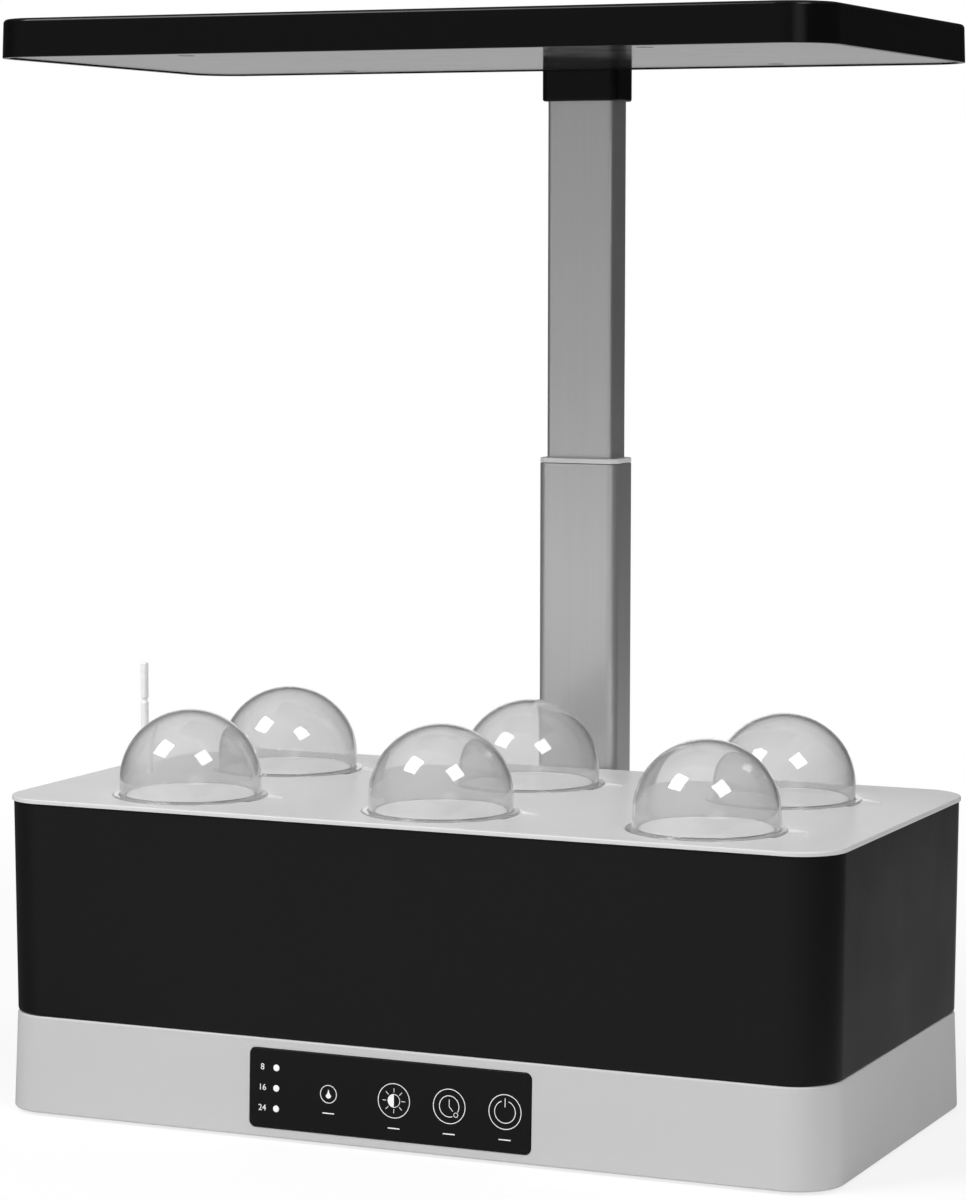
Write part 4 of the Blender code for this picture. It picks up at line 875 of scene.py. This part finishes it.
def pan_screw(length, radius):
    """A pan-head screw, head down at height zero: domed head, cross recess and threaded shank."""
    outline = [(0, 0), (radius * 0.72, 0), (radius * 0.9, 0.12 * MM), (radius, 0.5 * MM),
               (radius, 1.7 * MM), (1.4 * MM, 1.7 * MM)]
    turns = int((length - 3.2 * MM) / (0.9 * MM))
    for turn in range(turns):
        z = 1.9 * MM + turn * 0.9 * MM
        outline += [(1.15 * MM, z), (1.15 * MM, z + 0.35 * MM), (1.4 * MM, z + 0.6 * MM)]
    outline += [(0.5 * MM, length - 0.3 * MM), (0, length)]
    obj = turned("screw", outline, 32)
    half, deep = radius * 0.55, 0.9 * MM
    wing = radius * 0.14
    for x, y in ((half, wing), (wing, half)):
        tool = case("cross", (-x, -y, -0.5 * MM), (x, y, deep), 0, top_inset=wing / 2)
        carve(obj, tool)
    return obj


def screws():
    sets = [("base_screw_", CORNERS, 11.0 * MM, 2.9 * MM, "root", Matrix.Identity(4)),
            ("lamp_screw_", CORNERS, 9.0 * MM, 2.9 * MM, "lamp_head", Matrix.Identity(4)),
            ("bracket_screw_", ("left", "right"), 10.0 * MM, 2.6 * MM, "lamp_head",
             Matrix.Rotation(pi / 2, 4, "X"))]
    for family, names, length, radius, body, turn in sets:
        pattern = pan_screw(length, radius)
        for name in names:
            low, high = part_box(family + name)
            middle = (low + high) / 2
            if family == "bracket_screw_":
                head = Vector((middle.x, high.y, middle.z))
            else:
                head = Vector((middle.x, middle.y, low.z))
            obj = copy_of(pattern, "pan_" + family + name, Matrix.Translation(head) @ turn)
            settle(obj, screw_steel, body, family + name, slot="screw_steel", angle=30)
        bpy.data.objects.remove(pattern)


# Tank and deck


def tank_shell():
    obj = case("tank_shell", (-WIDTH_SIDE, FRONT, tank_low.z), (WIDTH_SIDE, BACK, tank_high.z), CORNER,
               top_inset=0.6 * MM, foot_inset=1.3 * MM, foot_edge=1.0 * MM, steps=20)
    sink(obj, tank_high.z, 2.4 * MM, 2.4 * MM - (tank_high.z - tank_low.z), floor_edge=1.5 * MM)
    settle(obj, tank_black, "root", "tank", slot="tank_black")


def deck_plate():
    rim_low = tank_high.z + 0.3 * MM
    obj = case("deck_plate", (-WIDTH_SIDE, FRONT, rim_low), (WIDTH_SIDE, BACK, DECK_TOP), CORNER,
               top_edge=0.6 * MM, foot_edge=0.15 * MM, steps=20)
    inset = 3.3 * MM
    plug = case("plug", (-WIDTH_SIDE + inset, FRONT + inset, rim_low - 4.0 * MM),
                (WIDTH_SIDE - inset, BACK - inset, rim_low + 0.9 * MM), CORNER - inset,
                foot_edge=0.6 * MM, steps=20)
    carve(obj, plug, "UNION")
    rod_low, rod_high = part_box("float_rod")
    rod_x, rod_y = (rod_low.x + rod_high.x) / 2, (rod_low.y + rod_high.y) / 2
    guide = turned("guide", [(0, deck_low.z), (3.6 * MM, deck_low.z), (4.0 * MM, deck_low.z + 0.4 * MM),
                             (4.0 * MM, rim_low), (0, rim_low)], 48)
    carve(obj, move(guide, rod_x, rod_y), "UNION")

    recess_floor = DECK_TOP - 1.0 * MM
    seat_floor = recess_floor - 1.6 * MM
    recess, recess_edge, seat, hole = 31.1 * MM, 31.25 * MM, 26.6 * MM, 22.9 * MM
    over = 4.0 * MM
    for number in POD_NUMBERS:
        x, y = pod_middle(number)
        bore = turned("bore", [
            (0, DECK_TOP + over), (recess_edge, DECK_TOP + over), (recess_edge, DECK_TOP),
            (recess, DECK_TOP - 0.15 * MM), (recess, recess_floor), (seat, recess_floor), (seat, seat_floor),
            (hole, seat_floor), (hole, rim_low - over - 4 * MM), (0, rim_low - over - 4 * MM)], 96)
        notch = turned("notch", [
            (0, DECK_TOP + over), (11.1 * MM, DECK_TOP + over), (11.1 * MM, DECK_TOP),
            (10.95 * MM, DECK_TOP - 0.15 * MM), (10.8 * MM, DECK_TOP - 0.7 * MM),
            (0, DECK_TOP - 0.7 * MM)], 64)
        carve(obj, move(notch, x + 29.0 * MM, y))
        carve(obj, move(bore, x, y))
    bore = turned("rod_bore", [(0, DECK_TOP + over), (2.6 * MM, DECK_TOP + over), (2.6 * MM, DECK_TOP),
                               (2.2 * MM, DECK_TOP - 0.4 * MM), (2.2 * MM, deck_low.z - over),
                               (0, deck_low.z - over)], 40)
    carve(obj, move(bore, rod_x, rod_y))
    settle(obj, deck_light, "deck", "deck", slot="deck_white")


# Pods


def dome_pattern():
    """A clear dome with its foot at height zero: half a ball on a short skirt, with a flat brim."""
    radius, wall, skirt, brim = 28.3 * MM, 1.3 * MM, 6.4 * MM, 30.8 * MM
    inner = radius - wall
    outside = [(0, skirt + radius)] + arc(radius, 0, skirt, 87, 0, 29)
    foot = arc(-0.6 * MM, radius + 0.6 * MM, 1.6 * MM, 0, 90, 4)
    lip = arc(0.3 * MM, brim - 0.3 * MM, 0.7 * MM, 90, 0, 3) + [(brim, 0.2 * MM), (brim - 0.2 * MM, 0)]
    inside = [(inner + 0.2 * MM, 0), (inner, 0.2 * MM)] + arc(inner, 0, skirt, 0, 87, 29)
    inside.append((0, skirt + inner))
    return turned("dome", outside + foot + lip + inside, 96)


def disc_pattern():
    radius, thick = 25.6 * MM, 1.4 * MM
    return turned("disc", [
        (0, thick - 0.25 * MM), (radius - 3.2 * MM, thick - 0.25 * MM), (radius - 2.6 * MM, thick),
        (radius - 0.5 * MM, thick), (radius - 0.15 * MM, thick - 0.15 * MM), (radius, thick - 0.5 * MM),
        (radius, 0.15 * MM), (radius - 0.15 * MM, 0), (0, 0)], 96)


def basket_pattern():
    """A net pod with its flange's foot at height zero: long slots between ribs, and a slotted floor."""
    flange, top, foot, depth, wall = 26.3 * MM, 22.6 * MM, 16.5 * MM, 47.0 * MM, 1.3 * MM
    slope = (top - foot) / depth
    steps = 60

    def outside(drop):
        return (top - slope * drop, -drop)

    rings = [(flange, 0), (top + 0.6 * MM, 0)]
    rings += [outside(drop * MM) for drop in (0.6, 9, 18.8, 24, 29, 34.6, 40.4, 46.2)]
    rings += [(foot - 0.8 * MM, -depth), (foot * 0.68, -depth), (foot * 0.3, -depth), (0, -depth)]
    obj = turned("basket", rings, steps)
    enter(obj)

    def slot(face):
        middle = face.calc_center_median()
        column = int(atan2(middle.y, middle.x) % (2 * pi) / (2 * pi) * steps)
        side = 18.8 * MM < -middle.z < 40.4 * MM
        floor = -middle.z > depth - TOUCH and foot * 0.3 < middle.xy.length < foot * 0.68
        return (side or floor) and column % 12 > 2
    pick("FACE", slot)
    bpy.ops.mesh.delete(type="FACE")
    bpy.ops.mesh.select_all(action="SELECT")
    bpy.ops.mesh.normals_make_consistent(inside=False)
    leave()
    skin = obj.modifiers.new("wall", "SOLIDIFY")
    skin.thickness = wall
    skin.offset = -1
    skin.use_even_offset = True
    apply_modifier(obj, skin)
    rounding = obj.modifiers.new("rounding", "BEVEL")
    rounding.width = 0.2 * MM
    rounding.segments = 2
    rounding.limit_method = "ANGLE"
    rounding.angle_limit = radians(60)
    apply_modifier(obj, rounding)
    return obj


def sponge_pattern():
    """A tapered foam plug with a seed hole and slightly uneven sides."""
    top, foot, height = 20.5 * MM, 17.3 * MM, 25.0 * MM
    outline = [(0, -9 * MM), (2.6 * MM, -9 * MM), (3.0 * MM, -8.4 * MM), (3.0 * MM, -0.5 * MM),
               (3.6 * MM, 0), (8 * MM, 0), (14 * MM, 0), (top - 1.0 * MM, 0),
               (top - 0.3 * MM, -0.4 * MM)]
    rows = 14
    for row in range(rows + 1):
        share = row / rows
        outline.append((top + (foot - top) * share, -1.2 * MM - share * (height - 2.4 * MM)))
    outline += [(foot - 0.8 * MM, -height), (foot / 2, -height), (0, -height)]
    obj = turned("sponge", outline, 72)
    rough = bpy.data.textures.new("foam_unevenness", "CLOUDS")
    rough.noise_scale = 1.6 * MM
    rough.noise_depth = 3
    uneven = obj.modifiers.new("unevenness", "DISPLACE")
    uneven.texture = rough
    uneven.strength = -0.7 * MM
    uneven.mid_level = 0
    apply_modifier(obj, uneven)
    return obj


def pods():
    patterns = [("clear_dome_", "dome_", dome_pattern(), dome_clear, "clear_plastic", 50),
                ("pod_disc_", "cover_disc_", disc_pattern(), disc_light, "deck_white", 35),
                ("net_basket_", "basket_", basket_pattern(), inner_black, "black_plastic", 35),
                ("grow_plug_", "sponge_", sponge_pattern(), sponge_foam, "grow_sponge", 60)]
    for number in POD_NUMBERS:
        x, y = pod_middle(number)
        for name, node, pattern, finish, slot, angle in patterns:
            low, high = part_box(f"{node}{number}")
            z = low.z if node in ("dome_", "cover_disc_") else high.z
            obj = copy_of(pattern, f"{name}{number}", Matrix.Translation((x, y, z)))
            body = f"dome_{number}" if node == "dome_" else f"pod_{number}"
            settle(obj, finish, body, f"{node}{number}", slot=slot, angle=angle)
    for _, _, pattern, _, _, _ in patterns:
        bpy.data.objects.remove(pattern)


def float_and_rod():
    low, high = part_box("level_float")
    x, y = (low.x + high.x) / 2, (low.y + high.y) / 2
    radius, tall = (high.x - low.x) / 2, high.z - low.z
    edge = 2.2 * MM
    outline = [(0, 4 * MM), (1.9 * MM, 4 * MM), (1.9 * MM, tall - 0.4 * MM), (2.3 * MM, tall),
               (radius - edge, tall)]
    outline += arc(edge, radius - edge, tall - edge, 80, 0, 5)
    outline += arc(edge, radius - edge, edge, 0, -90, 6) + [(0, 0)]
    body = turned("foam_float", outline, 72)
    move(body, x, y, low.z)
    settle(body, float_foam, "float", "level_float", slot="white_plastic")

    low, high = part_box("float_rod")
    radius, groove = 1.6 * MM, 157.2 * MM
    eased, waist = radius - 0.1 * MM, radius - 0.42 * MM
    rod = turned("level_rod", [
        (0, high.z), (radius * 0.45, high.z - 0.05 * MM), (radius * 0.8, high.z - 0.3 * MM),
        (radius, high.z - 0.8 * MM), (radius, groove + 1.1 * MM), (eased, groove + 0.95 * MM),
        (waist, groove + 0.6 * MM), (waist, groove - 0.6 * MM), (eased, groove - 0.95 * MM),
        (radius, groove - 1.1 * MM), (radius, low.z + 0.2 * MM), (radius - 0.2 * MM, low.z), (0, low.z)], 40)
    move(rod, (low.x + high.x) / 2, (low.y + high.y) / 2)
    settle(rod, white_plastic, "float", "float_rod", slot="white_plastic")


# Mast


def mast():
    for node, name, corner, wall, body in (
            ("mast_outer_tube", "mast_lower_tube", 4.5 * MM, 1.5 * MM, "root"),
            ("mast_inner_tube", "mast_upper_tube", 2.4 * MM, 1.3 * MM, "lamp_head")):
        low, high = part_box(node)
        obj = case(name, low, high, corner, steps=10)
        tunnel(obj, low.z, high.z, wall)
        settle(obj, mast_metal, body, node, slot="mast_tube")
    low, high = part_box("mast_collar")
    ring = case("mast_end_collar", low, high, 4.5 * MM, top_edge=0.4 * MM, foot_edge=0.1 * MM, steps=10)
    tube_low, tube_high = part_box("mast_inner_tube")
    gap = 0.3 * MM
    hole = case("hole", (tube_low.x - gap, tube_low.y - gap, low.z - MM),
                (tube_high.x + gap, tube_high.y + gap, high.z + MM), 2.7 * MM, steps=10)
    carve(ring, hole)
    settle(ring, white_plastic, "root", "mast_collar", slot="white_plastic")


def bracket():
    low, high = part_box("lamp_bracket")
    tube_low, tube_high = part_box("mast_inner_tube")
    wall = 2.15 * MM
    body = case("lamp_sleeve", (tube_low.x - wall, low.y, low.z), (tube_high.x + wall, high.y, high.z),
                3.8 * MM, top_edge=0.9 * MM, foot_edge=0.9 * MM, steps=10)
    ear_low, ear_high = lamp_low.z + 1.6 * MM, high.z - 1.6 * MM
    ears = case("ears", (low.x, -ear_high, 0), (high.x, -ear_low, 3.0 * MM), 1.6 * MM, top_edge=0.3 * MM,
                steps=6)
    place(ears, Matrix.Translation((0, low.y + 3.0 * MM, 0)) @ Matrix.Rotation(pi / 2, 4, "X")
          @ Matrix.Scale(-1, 4, (0, 1, 0)))
    enter(ears)
    bpy.ops.mesh.select_all(action="SELECT")
    bpy.ops.mesh.normals_make_consistent(inside=False)
    leave()
    carve(body, ears, "UNION")
    gap = 0.3 * MM
    bore = case("bore", (tube_low.x - gap, tube_low.y - gap, low.z - MM),
                (tube_high.x + gap, tube_high.y + gap, high.z - 2.5 * MM), 2.7 * MM, steps=10)
    carve(body, bore)
    for name in ("left", "right"):
        screw_low, screw_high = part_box("bracket_screw_" + name)
        middle = (screw_low + screw_high) / 2
        hole = round_tool(1.7 * MM, 6 * MM, 32)
        carve(body, place(hole, Matrix.Translation((middle.x, low.y + 1.5 * MM, middle.z))
                          @ Matrix.Rotation(pi / 2, 4, "X")))
    settle(body, bracket_black, "lamp_head", "lamp_bracket", slot="black_plastic")


# Lamp


def lamp_case():
    obj = case("lamp_case", lamp_low, lamp_high, CORNER, top_inset=0.4 * MM, top_edge=1.6 * MM,
               foot_edge=0.25 * MM, steps=20, edge_steps=6)
    sink(obj, lamp_low.z, 2.35 * MM, 12.6 * MM)
    for name in CORNERS:
        low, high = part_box("lamp_screw_" + name)
        foot = panel_high.z + 0.3 * MM
        roof = lamp_high.z - 1.5 * MM
        boss = turned("boss", [(0, roof), (4.5 * MM, roof), (4.5 * MM, foot), (1.7 * MM, foot),
                               (1.7 * MM, roof - 2.5 * MM), (0, roof - 2.5 * MM)], 40)
        carve(obj, move(boss, (low.x + high.x) / 2, (low.y + high.y) / 2), "UNION")
    settle(obj, lamp_black, "lamp_head", "lamp_housing", slot="lamp_gloss_black")


def lamp_plate():
    obj = case("lamp_plate", panel_low, panel_high, CORNER - 2.7 * MM, foot_edge=0.3 * MM, steps=20)
    for name in CORNERS:
        low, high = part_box("lamp_screw_" + name)
        sunk = low.z + 2.0 * MM
        hole = turned("hole", [
            (0, panel_low.z - MM), (3.6 * MM, panel_low.z - MM), (3.6 * MM, panel_low.z),
            (3.4 * MM, panel_low.z + 0.2 * MM), (3.4 * MM, sunk), (1.7 * MM, sunk),
            (1.7 * MM, panel_high.z + MM), (0, panel_high.z + MM)], 40)
        carve(obj, move(hole, (low.x + high.x) / 2, (low.y + high.y) / 2))
    settle(obj, plate_grey, "lamp_head", "lamp_panel", slot="lamp_mirror")


# The solids that stay in view


def dress_solids():
    for node, finish in (("bottom_cover", inner_black), ("control_board", key_board),
                         ("pump", inner_black), ("pump_filter", filter_grey),
                         ("mast_glide", white_plastic), ("led_board", light_board)):
        for slot in nodes[node].material_slots:
            slot.material = finish


# Studio

SCENE_MIDDLE = Vector((0.0, -0.02, 0.16))

# The photograph's frame and the camera fitted to it, in its pixels, metres and radians
PHOTO_WIDTH, PHOTO_HEIGHT = 966.0, 1200.0
FOCAL_LENGTH = 3829.77
VIEW_CENTRE = (535.48, 602.48)
CAMERA_PLACE = (0.61813, -1.39427, 0.34717)
CAMERA_HEADING, CAMERA_PITCH, CAMERA_ROLL = 0.4074, -0.0942, -0.0027

# Headings from the garden: to the backdrop, the room in front, its bright corner and the dim left
BEHIND = (-0.3962, 0.9182)
IN_FRONT = (-0.3962, -0.9182, 0.02)
BRIGHT_CORNER = (0.604, -0.796, 0.03)
DIM_LEFT = (-0.996, 0.087, 0.0)


def camera():
    data = bpy.data.cameras.new("camera")
    data.sensor_width = 36.0
    data.lens = FOCAL_LENGTH * data.sensor_width / PHOTO_HEIGHT
    data.shift_x = (PHOTO_WIDTH / 2 - VIEW_CENTRE[0]) / PHOTO_HEIGHT
    data.shift_y = (VIEW_CENTRE[1] - PHOTO_HEIGHT / 2) / PHOTO_HEIGHT
    data.clip_start = 0.05
    obj = bpy.data.objects.new("camera", data)
    bpy.context.scene.collection.objects.link(obj)
    turn = (Matrix.Rotation(CAMERA_HEADING, 4, "Z") @ Matrix.Rotation(CAMERA_PITCH, 4, "X")
            @ Matrix.Rotation(CAMERA_ROLL, 4, "Y") @ Matrix.Rotation(pi / 2, 4, "X"))
    obj.matrix_world = Matrix.Translation(CAMERA_PLACE) @ turn
    bpy.context.scene.camera = obj


def softbox(name, direction, distance, size, power, spin=0.0):
    data = bpy.data.lights.new(name, "AREA")
    data.shape = "SQUARE"
    data.size = size
    data.energy = power
    obj = bpy.data.objects.new(name, data)
    bpy.context.scene.collection.objects.link(obj)
    direction = Vector(direction).normalized()
    facing = (-direction).to_track_quat("-Z", "Y").to_matrix().to_4x4()
    obj.matrix_world = (Matrix.Translation(SCENE_MIDDLE + direction * distance) @ facing
                        @ Matrix.Rotation(radians(spin), 4, "Z"))


def lobe(t, where, direction, start, full, level):
    """Light from around one direction: it starts and is full at two closenesses to it."""
    along = t.add("ShaderNodeVectorMath", operation="DOT_PRODUCT")
    t.link(where, along.inputs[0])
    along.inputs[1].default_value = direction
    return t.spread(along.outputs["Value"], start, full, 0.0, level)


def world():
    """White behind the garden for the camera, metal and glass; a dim studio in front of it."""
    made = bpy.data.worlds.new("studio")
    bpy.context.scene.world = made
    made.use_nodes = True
    t = Tree(made.node_tree)
    background = made.node_tree.nodes["Background"]
    path = t.add("ShaderNodeLightPath")
    where = t.add("ShaderNodeTexCoord").outputs["Generated"]
    above = lobe(t, where, (0.0, 0.0, 1.0), 0.45, 0.9, 0.5)
    beside = lobe(t, where, IN_FRONT, 0.55, 0.95, 0.34)
    corner = lobe(t, where, BRIGHT_CORNER, 0.955, 0.992, 1.6)
    behind = lobe(t, where, (*BEHIND, 0.0), 0.955, 0.985, 0.96)
    mirrored = t.sum(t.sum(behind, beside), t.sum(t.sum(above, corner), 0.03))
    low_behind = tuple(0.9903 * part for part in BEHIND) + (-0.1392,)
    through = t.sum(lobe(t, where, low_behind, 0.90, 0.985, 0.94), t.sum(above, 0.05))
    ambient = 0.30
    level = t.mix(path.outputs["Is Glossy Ray"], (ambient, ambient, ambient, 1), mirrored)
    level = t.mix(path.outputs["Is Transmission Ray"], level, through)
    level = t.mix(path.outputs["Is Camera Ray"], level, (1, 1, 1, 1))
    t.link(level, background.inputs["Color"])
    background.inputs["Strength"].default_value = 1.0


def floor():
    """A pale floor that keeps the garden's soft shadow and runs out to white."""
    clear_selection()
    bpy.ops.mesh.primitive_plane_add(size=30, location=(0, 0, 0))
    obj = bpy.context.object
    obj.name = "studio_floor"
    made = bpy.data.materials.new("pale_floor")
    made.use_nodes = True
    t = Tree(made.node_tree)
    nodes_of = made.node_tree.nodes
    shader = nodes_of["Principled BSDF"]
    shader.inputs["Roughness"].default_value = 0.9
    shader.inputs["Specular IOR Level"].default_value = 0.0
    white = t.add("ShaderNodeEmission")
    path = t.add("ShaderNodeLightPath")
    where = t.add("ShaderNodeTexCoord").outputs["Object"]
    split = t.add("ShaderNodeSeparateXYZ")
    t.link(where, split.inputs[0])
    heading = t.add("ShaderNodeVectorMath", operation="NORMALIZE")
    t.link(where, heading.inputs[0])
    length = t.add("ShaderNodeVectorMath", operation="LENGTH")
    t.link(where, length.inputs[0])
    # Seen in reflections the floor is painted dark on its right and left, with a faint painted glow far off;
    # seen through glass it is painted black except near the garden and behind it: painted shade and light of
    # a dim studio.
    left = lobe(t, heading.outputs[0], DIM_LEFT, 0.62, 0.85, 0.85)
    dim_side = t.times(t.spread(split.outputs["X"], 0.2, 0.6, 1.0, 0.1), t.sum(1.0, left, "SUBTRACT"))
    near = t.spread(length.outputs["Value"], 0.55, 0.85, 1.0, 0.1)
    clear = t.sum(near, lobe(t, heading.outputs[0], (*BEHIND, 0.0), 0.92, 0.985, 1.0), "MAXIMUM")
    pale = (0.86, 0.86, 0.86, 1)
    shade = t.mix(path.outputs["Is Glossy Ray"], pale, t.mix(dim_side, (0, 0, 0, 1), pale))
    shade = t.mix(path.outputs["Is Transmission Ray"], shade, t.mix(clear, (0, 0, 0, 1), pale))
    t.link(shade, shader.inputs["Base Color"])
    far = t.spread(length.outputs["Value"], 0.25, 0.9, 0.80, 1.0)
    through = t.times(path.outputs["Is Transmission Ray"], clear)
    seen = t.sum(path.outputs["Is Camera Ray"], through, "MAXIMUM")
    distant = t.times(t.spread(length.outputs["Value"], 1.5, 4.0, 0.0, 0.18), dim_side)
    seen = t.sum(seen, t.times(path.outputs["Is Glossy Ray"], distant), "MAXIMUM")
    mixed = t.add("ShaderNodeMixShader")
    t.link(t.times(far, seen), mixed.inputs[0])
    t.link(shader.outputs[0], mixed.inputs[1])
    t.link(white.outputs[0], mixed.inputs[2])
    t.link(mixed.outputs[0], nodes_of["Material Output"].inputs["Surface"])
    obj.data.materials.append(made)


def studio():
    bpy.context.scene.view_settings.view_transform = "Standard"
    camera()
    world()
    floor()
    softbox("left_softbox", (-0.461, -0.499, 0.734), 2.4, 0.94, 44.0, 4.5)
    softbox("right_softbox", (0.583, -0.440, 0.683), 2.4, 0.88, 26.0, 21)


base_shell()
fascia()
fascia_marks()
fascia_lights()
power_inlet()
rubber_feet()
screws()
tank_shell()
deck_plate()
pods()
float_and_rod()
mast()
bracket()
lamp_case()
lamp_plate()
dress_solids()
studio()
